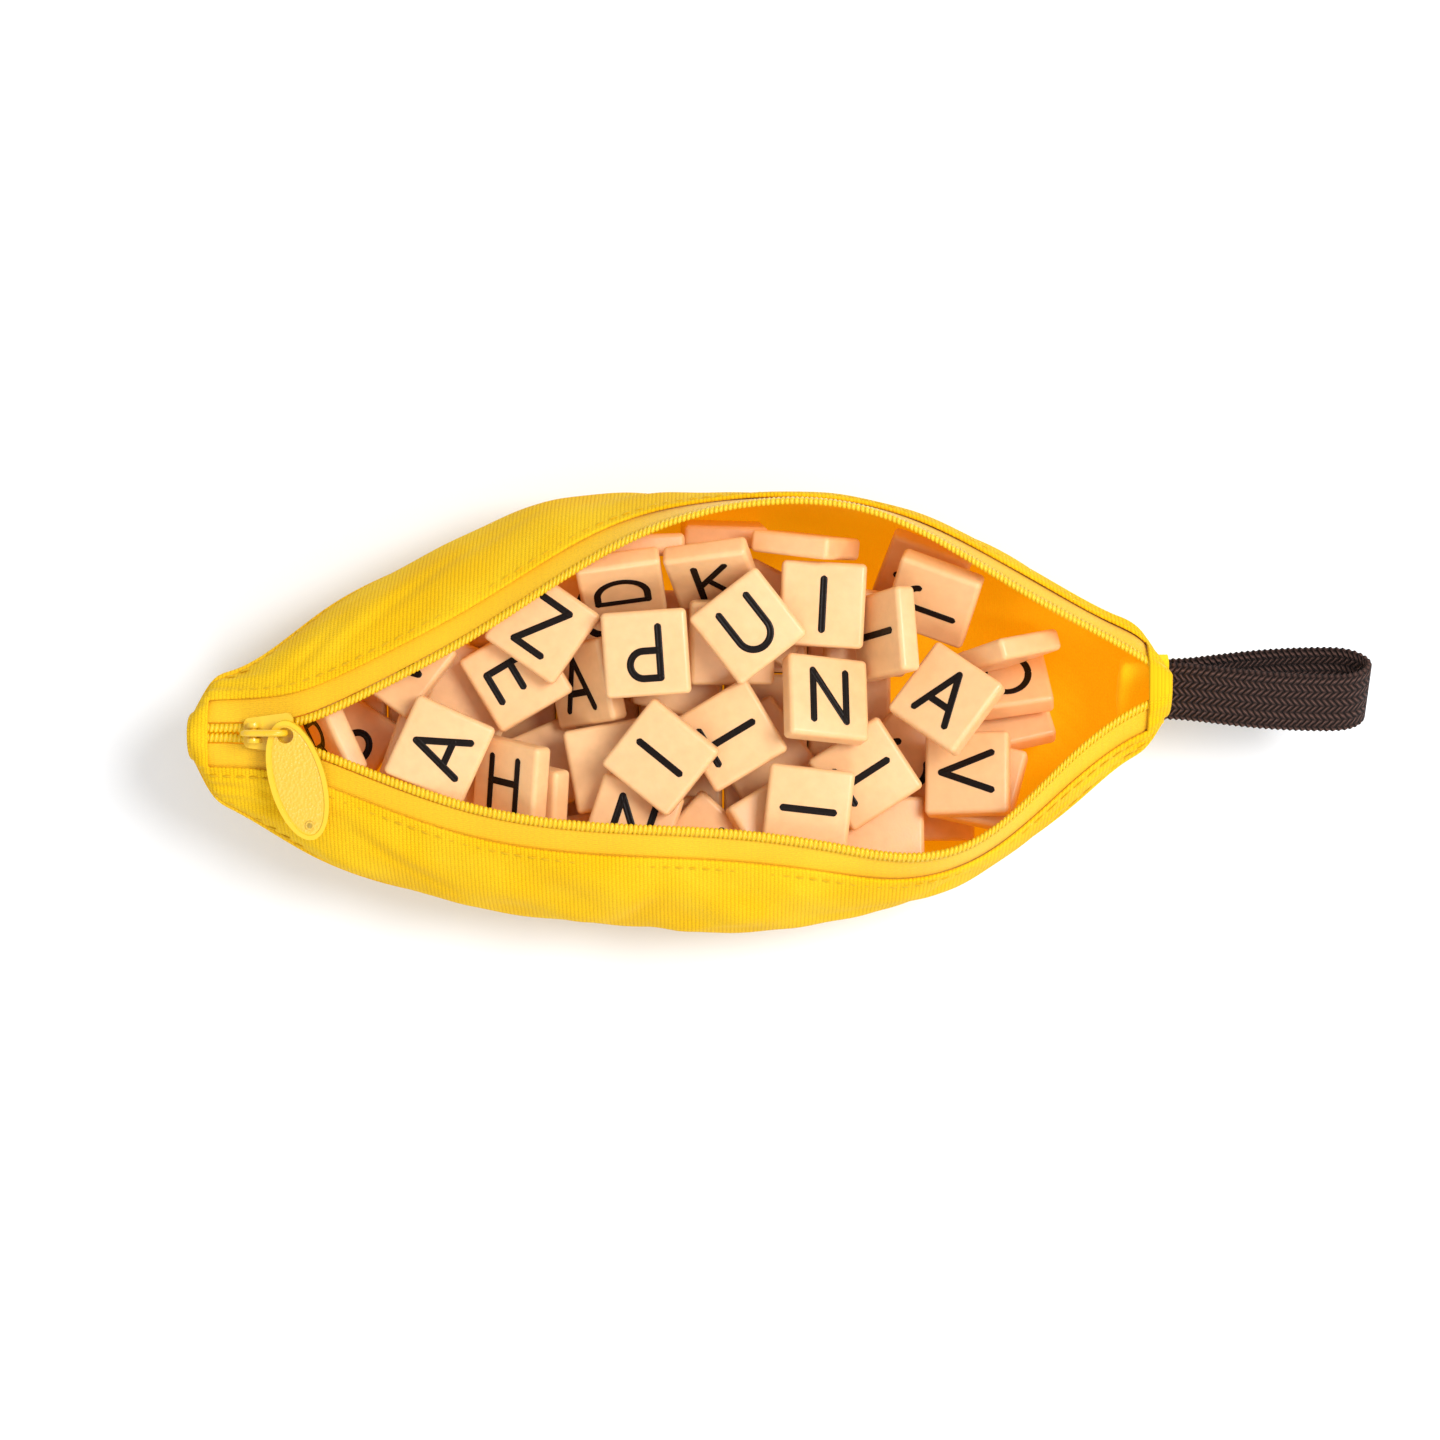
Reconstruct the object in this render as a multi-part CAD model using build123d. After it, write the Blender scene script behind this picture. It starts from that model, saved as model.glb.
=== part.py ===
"""A crescent-shaped zip pouch of yellow canvas, lying open on its base and full of square letter tiles.

Frame: +Z up, +X along the pouch from the slider end to the strap end, +Y to the far side.
The origin is the middle of the flat patch that the pouch rests on. All sizes are in millimetres.
"""
from build123d import *
import math
import os
import numpy as np

# ---------------------------------------------------------------- driving dimensions
# The pouch as it lies open: how far it reaches from the origin
pouch_half_length = 109.0
far_reach = 50.6          # widest point of the far side
near_reach = 49.2         # widest point of the near side
far_lip_reach = 48.4      # widest point of the mouth's far lip
near_lip_reach = 32.4     # widest point of the mouth's near lip
lip_height = 50.0         # the zipper lip at mid length
belly_height = 23.0       # where the sides are widest
end_rise = 19.0           # how far the base rises at each end
foot_half_width = 24.0    # half width of the flat base
base_trim = 0.35          # depth of cloth pressed flat on the table

# Cloth
canvas = 1.0
tape_thickness = 0.4
lining_thickness = 0.3
ply_gap = 0.2            # air between two plies of cloth
seam_width = 1.8
seam_height = 1.7
seam_gap = 0.1
end_wall_thickness = 1.6

# Zipper
coil_width = 2.2
coil_thickness = 1.7
coil_gap = 0.2
tape_showing = 5.5        # tape between the coil and the canvas fold
tape_hidden = 5.0         # tape under the canvas fold
stop_length = 2.2
stop_wall = 0.5
stop_inset = 3.0          # from the pouch's end to the end of the coil

# Slider, its link and the oval pull
slider_rear_x = -97.0
slider_length = 11.0
slider_front_width = 9.4
slider_rear_width = 6.4
slider_plate = 0.9
slider_room = 0.4         # clearance above and below the coils inside the slider
rail_wall = 0.7
tape_slot = 1.5           # height of the slots that the tape leaves by
post_width = 1.1
post_length = 3.2
post_setback = 0.3
bar_inset = 2.6           # from the slider's rear edge to the bar that holds the link
bar_diameter = 1.4
lug_length = 2.8
lug_width = 4.4
ear_thickness = 1.0
link_wire = 1.5
link_length = 10.8
link_height = 6.0
link_room = 0.3
tab_length = 27.5
tab_width = 12.4
tab_thickness = 1.2
tab_rim_width = 1.0
tab_rim_height = 0.35
tab_eye = 3.6
tab_eye_inset = 3.3
tab_dot = 1.9
tab_turn = -76.0          # direction of the pull as it lies, from +X
tab_rest_gap = 0.4        # air between the pull and the canvas under it

# Strap loop of flat braid
strap_width = 15.0
strap_thickness = 1.5
strap_length = 43.0
strap_eye = 7.6           # widest gap between the two layers
strap_lean = 34.0         # tilt of the braid's face about X
strap_y = 6.0
strap_z = 0.62 * lip_height
strap_room = 0.4          # clearance in the slot of the end wall, and at the root of the loop
strap_tail = 9.0          # how far the sewn ends reach inside
tack_length = 2.4
tack_height = 0.4

# Letter tiles
tile_side = 19.0
tile_thickness = 5.0
tile_chamfer = 0.6
tile_gap = 0.15
wall_gap = 0.4            # least air between a tile and the lining
heap_tiles = 70           # most tiles that may lie hidden in the heap
heap_strap_end = 64.0     # the heap leaves the strap end empty
heap_slider_end = -87.0
laid_top = 24.0           # below this height the hidden tiles lie flat, side by side
heap_top = 36.0

# ---------------------------------------------------------------- outlines
# Each pair is (share of the half length, share of the reach that the name says).
FAR_LIP = [(-1, -0.057), (-0.89, -0.057), (-0.79, -0.034), (-0.71, 0.03), (-0.6, 0.15),
           (-0.41, 0.385), (-0.09, 0.835), (0.17, 0.998), (0.42, 0.935), (0.72, 0.56), (0.9, 0.34), (1, 0.2)]
NEAR_LIP = [(-1, 0.156), (-0.89, 0.156), (-0.79, 0.204), (-0.71, 0.295), (-0.6, 0.44), (-0.4, 0.66),
            (-0.16, 0.775), (0.1, 0.82), (0.32, 0.92), (0.49, 0.99), (0.63, 0.83),
            (0.8, 0.3), (0.93, -0.02), (1, -0.13)]
FAR_BELLY = [(-1, 0.06), (-0.93, 0.19), (-0.74, 0.47), (-0.54, 0.71), (-0.3, 0.95), (-0.05, 1.0),
             (0.2, 1.0), (0.46, 0.93), (0.72, 0.67), (0.9, 0.44), (1, 0.31)]
NEAR_BELLY = [(-1, 0.26), (-0.93, 0.42), (-0.78, 0.62), (-0.58, 0.8), (-0.3, 0.93), (0, 1.0), (0.24, 0.985),
              (0.46, 0.88), (0.66, 0.67), (0.84, 0.36), (0.93, 0.19), (1, 0.12)]
LIP_Z = [(-1, 0.85), (-0.78, 0.86), (-0.5, 0.94), (0, 1.0), (0.5, 0.98), (0.85, 0.9), (1, 0.84)]
BELLY_Z = [(-1, 1.42), (-0.7, 1.15), (0, 1.0), (0.6, 1.1), (1, 1.42)]
KEEL_Z = [(-1, 1.0), (-0.8, 0.44), (-0.6, 0.12), (-0.42, 0.0), (0.42, 0.0), (0.6, 0.12), (0.8, 0.44), (1, 1.0)]
LIP_ROLL = [(-1, 1.0), (-0.78, 0.97), (-0.5, 0.8), (0.6, 0.7), (1, 0.8)]
SEAM_DROP = [(-1, -3.0), (-0.85, -2.0), (-0.5, 7.0), (0, 13.0), (0.5, 10.0), (0.85, 0.0), (1, -2.0)]
FOOT = [(-1, 0.1), (-0.7, 0.55), (0, 1.0), (0.6, 0.75), (1, 0.2)]


def smooth(points):
    """A natural cubic spline through the points, as a function of x."""
    x, v = np.array(points, float).T
    h, n = np.diff(x), len(x)
    a, b = np.eye(n), np.zeros(n)
    for i in range(1, n - 1):
        a[i, i - 1:i + 2] = h[i - 1], 2 * (h[i - 1] + h[i]), h[i]
        b[i] = 6 * ((v[i + 1] - v[i]) / h[i] - (v[i] - v[i - 1]) / h[i - 1])
    m = np.linalg.solve(a, b)

    def value(t):
        t = np.clip(t, x[0], x[-1])
        i = np.clip(np.searchsorted(x, t) - 1, 0, n - 2)
        p, q = x[i + 1] - t, t - x[i]
        return ((m[i] * p**3 + m[i + 1] * q**3) / (6 * h[i])
                + (v[i] / h[i] - m[i] * h[i] / 6) * p + (v[i + 1] / h[i] - m[i + 1] * h[i] / 6) * q)
    return value


def outline(points, size):
    shape = smooth(points)
    return lambda x: size * shape(np.asarray(x, float) / pouch_half_length)


far_lip_y = outline(FAR_LIP, far_lip_reach)
near_lip_y = outline(NEAR_LIP, -near_lip_reach)
far_belly_y = outline(FAR_BELLY, far_reach)
near_belly_y = outline(NEAR_BELLY, -near_reach)
lip_z = outline(LIP_Z, lip_height)
belly_z = outline(BELLY_Z, belly_height)
keel_rise = outline(KEEL_Z, end_rise + base_trim)
foot_y = outline(FOOT, foot_half_width)


def keel_z(x):
    return np.maximum(keel_rise(x), 0.0) - base_trim


def bezier(points, t):
    """The point at t on a Bezier curve, by repeated blending of its corner points."""
    points = [np.asarray(p, float) for p in points]
    while len(points) > 1:
        points = [(1 - t)[:, None] * p + t[:, None] * q for p, q in zip(points, points[1:])]
    return points[0]


CURVE_SAMPLES = 48
lip_roll = outline(LIP_ROLL, 1.0)
seam_drop = outline(SEAM_DROP, 1.0)   # how far below the widest point each side seam runs
FOOT_FULLNESS = 0.62


def half_section(x, side):
    """The outer surface at station x on one side (+1 far, -1 near), from the edge of the mouth to mid base."""
    lip = np.array([(far_lip_y if side > 0 else near_lip_y)(x), lip_z(x)])
    belly = np.array([(far_belly_y if side > 0 else near_belly_y)(x), belly_z(x)])
    keel, middle = keel_z(x), middle_y(x)
    foot = np.array([middle + side * foot_y(x), keel])
    shoulder = np.array([belly[0], belly[1] + lip_roll(x) * (lip[1] - belly[1])])
    edge = lip + (lip - shoulder) / np.linalg.norm(lip - shoulder) * coil_width / 2
    t = np.linspace(0, 1, CURVE_SAMPLES)
    up = bezier([edge, shoulder, belly], t)
    drop, out = belly[1] - keel, belly[0] - foot[0]
    down = bezier([belly, (belly[0], belly[1] - FOOT_FULLNESS * drop),
                   (foot[0] + FOOT_FULLNESS * out, keel), foot], t)
    base = np.linspace(foot, (middle, keel), 8)
    return np.vstack([up, down[1:], base[1:]])


def middle_y(x):
    """The middle of the base between the two widest points."""
    return (far_belly_y(x) + near_belly_y(x)) / 2


def run_of(points):
    """Distance along a chain of points from its first."""
    return np.concatenate([[0], np.cumsum(np.linalg.norm(np.diff(points, axis=0), axis=1))])


def section(x):
    """The whole outer surface at station x: its points (y, z) from the far lip under the base to the near lip."""
    points = np.vstack([half_section(x, 1), half_section(x, -1)[::-1][1:]])
    return points, run_of(points)


def inset(points, depth):
    """The section moved inwards, square to itself, by depth."""
    step = np.gradient(points, axis=0)
    step /= np.linalg.norm(step, axis=1)[:, None]
    return points + depth * np.column_stack([step[:, 1], -step[:, 0]])


def seam_run(x, side):
    """Distance from the lip to the side seam at station x."""
    return run_of(half_section(x, side))[CURVE_SAMPLES - 1] + seam_drop(x)


def even_spline(points):
    """A curve through the points with evenly spaced knots, so that every station's curve has the same ones."""
    return Edge.make_spline(points, parameters=[i / (len(points) - 1) for i in range(len(points))])


def band(x, start, end, outside, inside, count=7):
    """The closed outline of a cloth band at station x, from start to end along the section and between two depths.

    A negative place is measured back from the near lip.
    """
    points, run = section(x)
    start, end = (a + run[-1] if a < 0 else a for a in (start, end))
    at = np.linspace(start, end, count)
    rows = []
    for depth in (outside, inside):
        moved = inset(points, depth)
        rows.append([Vector(x, np.interp(a, run, moved[:, 0]), np.interp(a, run, moved[:, 1])) for a in at])
    outer, inner = rows
    return Wire([even_spline(outer), Line(outer[-1], inner[-1]), even_spline(inner[::-1]), Line(inner[0], outer[0])])


STATION_PITCH = 10.0
END_CROWDING = 0.4        # how far the stations draw together towards both ends


def sweep_band(first, last, start, end, outside, inside, count=7):
    """A cloth band from station first to station last; start and end are functions of x."""
    share = np.linspace(-1, 1, max(3, 1 + round((last - first) / STATION_PITCH)))
    share = (1 - END_CROWDING) * share + END_CROWDING * np.sin(share * math.pi / 2)
    stations = (first + last) / 2 + (last - first) / 2 * share
    return Solid.make_loft([band(x, start(x), end(x), outside, inside, count) for x in stations])


def hull_outline(x, depth, shrink=1.0):
    """The closed outline of the section at station x, its mouth bridged straight from lip to lip."""
    points = inset(section(x)[0], depth)
    centre = points.mean(axis=0)
    points = centre + (points - centre) * shrink
    places = [Vector(x, *points[i]) for i in np.linspace(0, len(points) - 1, 21).round().astype(int)]
    return Wire([even_spline(places), Line(places[-1], places[0])])


def end_wall(x, depth, thickness, shrink=1.0):
    """A closed end of the pouch: from station x outwards by thickness."""
    outer = hull_outline(x, depth, shrink).moved(Location((thickness, 0, 0)))
    return Solid.make_loft([hull_outline(x, depth), outer])


# ---------------------------------------------------------------- cloth
first, last = -pouch_half_length, pouch_half_length
fold = coil_width + coil_gap + tape_showing                    # where the canvas folds over the tape
tape_depth = canvas + ply_gap
coil_depth = tape_depth + tape_thickness / 2 - coil_thickness / 2
lining_depth = tape_depth + tape_thickness + ply_gap
cavity_depth = lining_depth + lining_thickness


def far_seam_edge(x, sign):
    return seam_run(x, 1) + sign * (seam_width / 2 + seam_gap)


def near_seam_edge(x, sign):
    return -(seam_run(x, -1) + sign * (seam_width / 2 + seam_gap))


parts = {}
end_gap = seam_gap
parts["far_side_panel"] = sweep_band(first, last, lambda x: fold, lambda x: far_seam_edge(x, -1), 0, canvas)
parts["near_side_panel"] = sweep_band(first, last, lambda x: near_seam_edge(x, -1), lambda x: -fold, 0, canvas)
parts["far_seam"] = sweep_band(first, last, lambda x: seam_run(x, 1) - seam_width / 2,
                               lambda x: seam_run(x, 1) + seam_width / 2, canvas - seam_height, canvas, 3)
parts["near_seam"] = sweep_band(first, last, lambda x: -seam_run(x, -1) - seam_width / 2,
                                lambda x: -seam_run(x, -1) + seam_width / 2, canvas - seam_height, canvas, 3)

# The base runs up to a closed wall at each end
base_strip = sweep_band(first - end_gap, last + end_gap, lambda x: far_seam_edge(x, 1),
                        lambda x: near_seam_edge(x, 1), 0, canvas, 13)
base = base_strip
for side, x in ((-1, first - end_gap), (1, last + end_gap)):
    base = base.fuse(end_wall(x, 0, side * end_wall_thickness, 0.93))

lining = sweep_band(first, last, lambda x: fold, lambda x: -fold, lining_depth, cavity_depth, 21)
lining_ends = []
for side, x in ((-1, first + lining_thickness), (1, last - lining_thickness)):
    lining_ends.append(end_wall(x, cavity_depth + ply_gap, side * lining_thickness))

# The bottom is pressed flat where the pouch stands
under_table = Pos(0, 0, -end_rise / 2) * Box(3 * pouch_half_length, 3 * far_reach, end_rise)
parts["bottom_panel"] = base - under_table

tape_start, tape_end = coil_width + coil_gap, fold + tape_hidden
inner_tape = tape_depth + tape_thickness
parts["far_zip_tape"] = sweep_band(first, last, lambda x: tape_start, lambda x: tape_end, tape_depth, inner_tape)
parts["near_zip_tape"] = sweep_band(first, last, lambda x: -tape_end, lambda x: -tape_start, tape_depth, inner_tape)

slider_front_x = slider_rear_x + slider_length
coil_top = coil_depth + coil_thickness
coil_first = first + stop_inset
coil_last = last - stop_inset
open_first = slider_front_x + coil_gap


def coil(start_x, end_x, start, end):
    return sweep_band(start_x, end_x, lambda x: start, lambda x: end, coil_depth, coil_top, 3)


parts["far_zip_coil"] = coil(open_first, coil_last, 0.0, coil_width)
parts["near_zip_coil"] = coil(open_first, coil_last, -coil_width, -0.001)
parts["closed_zip_coil"] = Compound([coil(coil_first, slider_front_x, 0.0, coil_width),
                                     coil(coil_first, slider_front_x, -coil_width, -0.001)])


def stop(x, start, end):
    """A metal stop clamped round one coil at station x."""
    return sweep_band(x - stop_length / 2, x + stop_length / 2, lambda x: start, lambda x: end,
                      coil_depth - stop_wall, coil_top + stop_wall, 3)


# ---------------------------------------------------------------- slider, link and pull
zip_y = float(far_lip_y(slider_rear_x) + near_lip_y(slider_rear_x)) / 2
coil_mid_z = float(lip_z(slider_rear_x + slider_length / 2)) - coil_depth - coil_thickness / 2
channel = coil_thickness + 2 * slider_room
plate_top = coil_mid_z + channel / 2 + slider_plate


def plate(z, thickness, rear=slider_rear_width, front=slider_front_width, corner=1.4):
    """A plate tapered from the slider's front to its rear, from height z upwards."""
    corners = [(slider_rear_x, rear / 2), (slider_front_x, front / 2),
               (slider_front_x, -front / 2), (slider_rear_x, -rear / 2)]
    flat = make_face(Polyline(*corners, close=True))
    return Pos(0, zip_y, z) * extrude(fillet(flat.vertices(), corner), thickness)


rail = (channel - tape_slot) / 2
lower_plate = plate(coil_mid_z - channel / 2 - slider_plate, slider_plate)
upper_plate = plate(coil_mid_z + channel / 2, slider_plate)
hollow_rear, hollow_front = slider_rear_width - 2 * rail_wall, slider_front_width - 2 * rail_wall
rails = Part()
for z in (coil_mid_z - channel / 2, coil_mid_z + channel / 2 - rail):
    rails += plate(z, rail) - plate(z, rail, hollow_rear, hollow_front, 0.6)
mouths = Pos(slider_rear_x + slider_length / 2, zip_y, coil_mid_z) * (
    Pos(-slider_length / 2, 0, 0) * Box(3, hollow_rear, channel)
    + Pos(slider_length / 2, 0, 0) * Box(4, hollow_front - 0.2, channel))
post_x = slider_front_x - post_length / 2 - post_setback
post_y = float(far_lip_y(post_x) + near_lip_y(post_x)) / 2
post = Pos(post_x, post_y, coil_mid_z) * Box(post_length, post_width, channel)
post = fillet(post.edges().filter_by(Axis.Z), post_width / 2 - 0.1)

bar_x = slider_rear_x + bar_inset
bar_z = plate_top + link_room + link_height / 2
bar_bore = (link_height - 2 * link_wire - bar_diameter) / 2
ear_y = lug_width / 2 - ear_thickness / 2
ears = Part()
for side in (-1, 1):
    ear = Pos(bar_x, zip_y + side * ear_y, (plate_top + bar_z) / 2) * Box(
        lug_length, ear_thickness, bar_z - plate_top)
    crown = Pos(bar_x, zip_y + side * ear_y, bar_z) * Rot(90, 0, 0) * Cylinder(lug_length / 2, ear_thickness)
    ears += ear + crown
bar = Pos(bar_x, zip_y, bar_z) * Rot(90, 0, 0) * Cylinder(bar_diameter / 2, lug_width - ear_thickness)
parts["slider_body"] = lower_plate + upper_plate + (rails - mouths) + post + ears + bar

# The link is a long ring of wire that stands on edge and hooks the bar to the pull
ring_radius = (link_height - link_wire) / 2
ring_run = link_length - link_height
ring_path = SlotCenterToCenter(ring_run, 2 * ring_radius).wire().edges()
ring = sweep(Plane(origin=(0, ring_radius, 0), x_dir=(0, 0, 1), z_dir=(1, 0, 0)) * Circle(link_wire / 2),
             path=Wire(ring_path), transition=Transition.ROUND)
ring_centre_x = bar_x + (link_height / 2 - link_wire - bar_diameter / 2 - bar_bore) + ring_run / 2
parts["pull_link"] = Pos(ring_centre_x, zip_y, bar_z) * Rot(90, 0, 0) * ring

# The pull hangs on the front of the link and rests its far end on the canvas
swivel = Vector(ring_centre_x + ring_run / 2 + ring_radius, zip_y, bar_z)
tab_middle = tab_length / 2 - tab_eye_inset
eye_shift = (tab_eye - link_wire) / 2 - 2 * link_room


def canvas_height(x, y):
    """Height of the near side of the pouch above the point (x, y)."""
    upper = half_section(x, -1)[:CURVE_SAMPLES]
    return np.interp(-y, -upper[:, 0], upper[:, 1])


def tab_place(slope):
    return Pos(swivel) * Rot(0, 0, tab_turn) * Rot(0, slope, 0) * Pos(eye_shift, 0, 0)


def tab_clearance(slope):
    """Least height of the pull's underside above the canvas."""
    heights = []
    for angle in np.radians(range(0, 360, 10)):
        rim = Pos(tab_middle + tab_length / 2 * math.cos(angle), tab_width / 2 * math.sin(angle),
                  -tab_thickness / 2 - tab_rim_height)
        spot = (tab_place(slope) * rim).position
        heights.append(spot.Z - canvas_height(spot.X, spot.Y))
    return min(heights)


tab_slope = max(slope for slope in np.arange(0, 30, 0.5) if slope == 0 or tab_clearance(slope) > tab_rest_gap)
oval = Ellipse(tab_length / 2, tab_width / 2)
field = Ellipse(tab_length / 2 - tab_rim_width, tab_width / 2 - tab_rim_width)
tab_height = tab_thickness + 2 * tab_rim_height
tab = extrude(oval, tab_height / 2, both=True)
for side in (-1, 1):
    tab -= Pos(0, 0, side * tab_height / 2) * extrude(field, tab_rim_height, both=True)
tab += Pos(tab_length / 2 - tab_eye_inset, 0, 0) * Cylinder(tab_dot / 2, tab_height)
tab = Pos(tab_middle, 0, 0) * tab - Cylinder(tab_eye / 2, 3 * tab_height)
parts["pull_tab"] = tab_place(tab_slope) * tab

# ---------------------------------------------------------------- zip stops
end_stop_x = coil_first - coil_gap - stop_length / 2
top_stop_x = coil_last + coil_gap + stop_length / 2
bridge_y = float(far_lip_y(end_stop_x) + near_lip_y(end_stop_x)) / 2
bridge_z = float(lip_z(end_stop_x)) - coil_depth - coil_thickness / 2
bridge = Pos(end_stop_x, bridge_y, bridge_z) * Box(stop_length, coil_width, coil_thickness)
parts["zip_end_stop"] = stop(end_stop_x, 0.0, coil_width) + stop(end_stop_x, -coil_width, -0.001) + bridge
parts["far_top_stop"] = stop(top_stop_x, 0.0, coil_width)
parts["near_top_stop"] = stop(top_stop_x, -coil_width, -0.001)

# ---------------------------------------------------------------- strap
lean = math.radians(strap_lean)
across = Vector(0, math.cos(lean), math.sin(lean))
wall_face = last + end_gap + end_wall_thickness
root_half = strap_thickness + ply_gap / 2
root_x = wall_face + strap_room + root_half
strap_plane = Plane(origin=(root_x, strap_y, strap_z), x_dir=(1, 0, 0), z_dir=across)
eye_half = strap_eye / 2
edge_half = eye_half + strap_thickness
tip_x = strap_length
outer_top = [(0, root_half), (0.18 * tip_x, root_half + 0.1), (0.48 * tip_x, strap_thickness + 0.5 * eye_half),
             (0.78 * tip_x, edge_half), (0.95 * tip_x, 0.72 * edge_half), (tip_x, 0)]
inner_top = [(0.2 * tip_x, 0), (0.48 * tip_x, 0.5 * eye_half), (0.78 * tip_x, eye_half),
             (tip_x - 2.2 * strap_thickness, 0.72 * eye_half), (tip_x - strap_thickness, 0)]


def mirrored(points):
    return points + [(x, -y) for x, y in points[-2::-1]]


outer_edge = Spline(*mirrored(outer_top))
root_arc = ThreePointArc(outer_top[0], (-root_half, 0), (0, -root_half))
inner_edge = Spline(*mirrored(inner_top))
loop_face = make_face([outer_edge, root_arc]) - make_face(inner_edge)
parts["strap_loop"] = strap_plane * extrude(loop_face, strap_width / 2, both=True)

tail_end = wall_face - root_x
tail_start = -root_x + last - strap_tail
tail = Pos((tail_start + tail_end) / 2, 0, 0) * Box(tail_end - tail_start, 2 * root_half, strap_width)
slot = Pos(tail_end, 0, 0) * Box(6 * end_wall_thickness, 2 * (root_half + strap_room),
                                 strap_width + 2 * strap_room)
parts["strap_tails"] = strap_plane * tail
tack_x = tail_start + 2 * tack_length
tack = Part()
for side in (-1, 1):
    tack += Pos(tack_x, side * (root_half + ply_gap + tack_height / 2), 0) * Box(
        tack_length, tack_height, strap_width - 2)
parts["strap_tack"] = strap_plane * tack
parts["bottom_panel"] = parts["bottom_panel"] - strap_plane * slot
parts["lining"] = Compound([lining] + [wall - strap_plane * slot for wall in lining_ends])

# ---------------------------------------------------------------- tiles
# The room inside the lining, as floor and ceiling heights on a grid of GRID_PITCH
GRID_PITCH = 1.0
grid_x = np.arange(first + 3, last - 3, GRID_PITCH)
grid_y = np.arange(-near_reach, far_reach, GRID_PITCH)
floor_grid = np.full((len(grid_x), len(grid_y)), np.inf)
ceiling_grid = np.full((len(grid_x), len(grid_y)), -np.inf)
for row, station in enumerate(grid_x):
    wall = inset(section(station)[0], cavity_depth + wall_gap)
    far_end, near_end = np.argmax(wall[:, 0]), np.argmin(wall[:, 0])
    within = (grid_y > wall[near_end, 0]) & (grid_y < wall[far_end, 0])
    under = wall[far_end:near_end + 1][::-1]
    floor_grid[row, within] = np.interp(grid_y[within], under[:, 0], under[:, 1])
    ceiling_grid[row, within] = 1e3
    for lip_part in (wall[:far_end + 1], wall[near_end:]):
        chain = lip_part[np.argsort(lip_part[:, 0])]
        below_lip = within & (grid_y >= chain[0, 0]) & (grid_y <= chain[-1, 0])
        ceiling_grid[row, below_lip] = np.interp(grid_y[below_lip], chain[:, 0], chain[:, 1])

SEED = 7
HEAP_LAYERS = 5
NUDGES = 400              # small shifts tried for each tile on view
SHOWN_FREEDOM, UNDER_FREEDOM = 3.0, 6.0    # their size in millimetres
TRIES = 300               # places tried for each hidden tile
HEAP_TURN, HEAP_TILT = 14.0, 6.0           # spread of a hidden tile's turn and tilt, in degrees
lay_pitch = tile_side + 3 * tile_gap
HALF = np.array([tile_side, tile_side, tile_thickness]) / 2
SIGNS = np.array([(i, j, k) for i in (-1, 1) for j in (-1, 1) for k in (-1, 1)])
placed_centres, placed_turns, placed_names = [], [], []


def turn_of(yaw, lean=0.0, tilt=0.0):
    """The tile's axes as columns: turned by yaw about Z, then its face tilted towards the direction lean."""
    yaw, lean, tilt = np.radians((yaw, lean, tilt))
    spin = np.array([[np.cos(yaw), -np.sin(yaw), 0], [np.sin(yaw), np.cos(yaw), 0], [0, 0, 1]])
    k = np.array([[0, 0, np.cos(lean)], [0, 0, np.sin(lean)], [-np.cos(lean), -np.sin(lean), 0]])
    return (np.eye(3) + np.sin(tilt) * k + (1 - np.cos(tilt)) * k @ k) @ spin


def free_heights(x, y, turn):
    """The floor and ceiling for a tile at (x, y), and the heights between which it would overlap other tiles."""
    corners = (SIGNS * HALF) @ turn.T
    rows = np.round((corners[:, 0] + x - grid_x[0]) / GRID_PITCH).astype(int)
    columns = np.round((corners[:, 1] + y - grid_y[0]) / GRID_PITCH).astype(int)
    if rows.min() < 0 or rows.max() >= len(grid_x) or columns.min() < 0 or columns.max() >= len(grid_y):
        return np.inf, -np.inf, np.empty((0, 2))
    floor = (floor_grid[rows, columns] - corners[:, 2]).max()
    ceiling = (ceiling_grid[rows, columns] - corners[:, 2]).min()
    centres, turns = np.array(placed_centres).reshape(-1, 3), np.array(placed_turns).reshape(-1, 3, 3)
    close = np.hypot(*(centres[:, :2] - (x, y)).T) < 2 * np.linalg.norm(HALF)
    if not np.isfinite(floor) or not close.any():
        return floor, ceiling, np.empty((0, 2))
    return floor, ceiling, overlap_heights(np.array([x, y, 0.0]) - centres[close], turn, turns[close])


def place_below(x, y, turn, top):
    """The highest free place for a tile at (x, y) that isn't above top; infinite if it has none."""
    floor, ceiling, overlaps = free_heights(x, y, turn)
    z = min(top, ceiling)
    for low, high in sorted(overlaps.tolist(), key=lambda pair: -pair[1]):
        if low < z < high:
            z = low
    return z if z >= floor else np.inf


def place_lowest(x, y, turn):
    """The lowest free place for a tile at (x, y)."""
    floor, ceiling, overlaps = free_heights(x, y, turn)
    z = floor
    for low, high in sorted(overlaps.tolist()):
        if low < z < high:
            z = high
    return z if z <= ceiling else np.inf


def drop(x, y, turn, z):
    """The height at which a tile let go at height z comes to rest."""
    floor, _, overlaps = free_heights(x, y, turn)
    return max([floor] + [high for _, high in overlaps.tolist() if high <= z + 1e-6])


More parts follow.
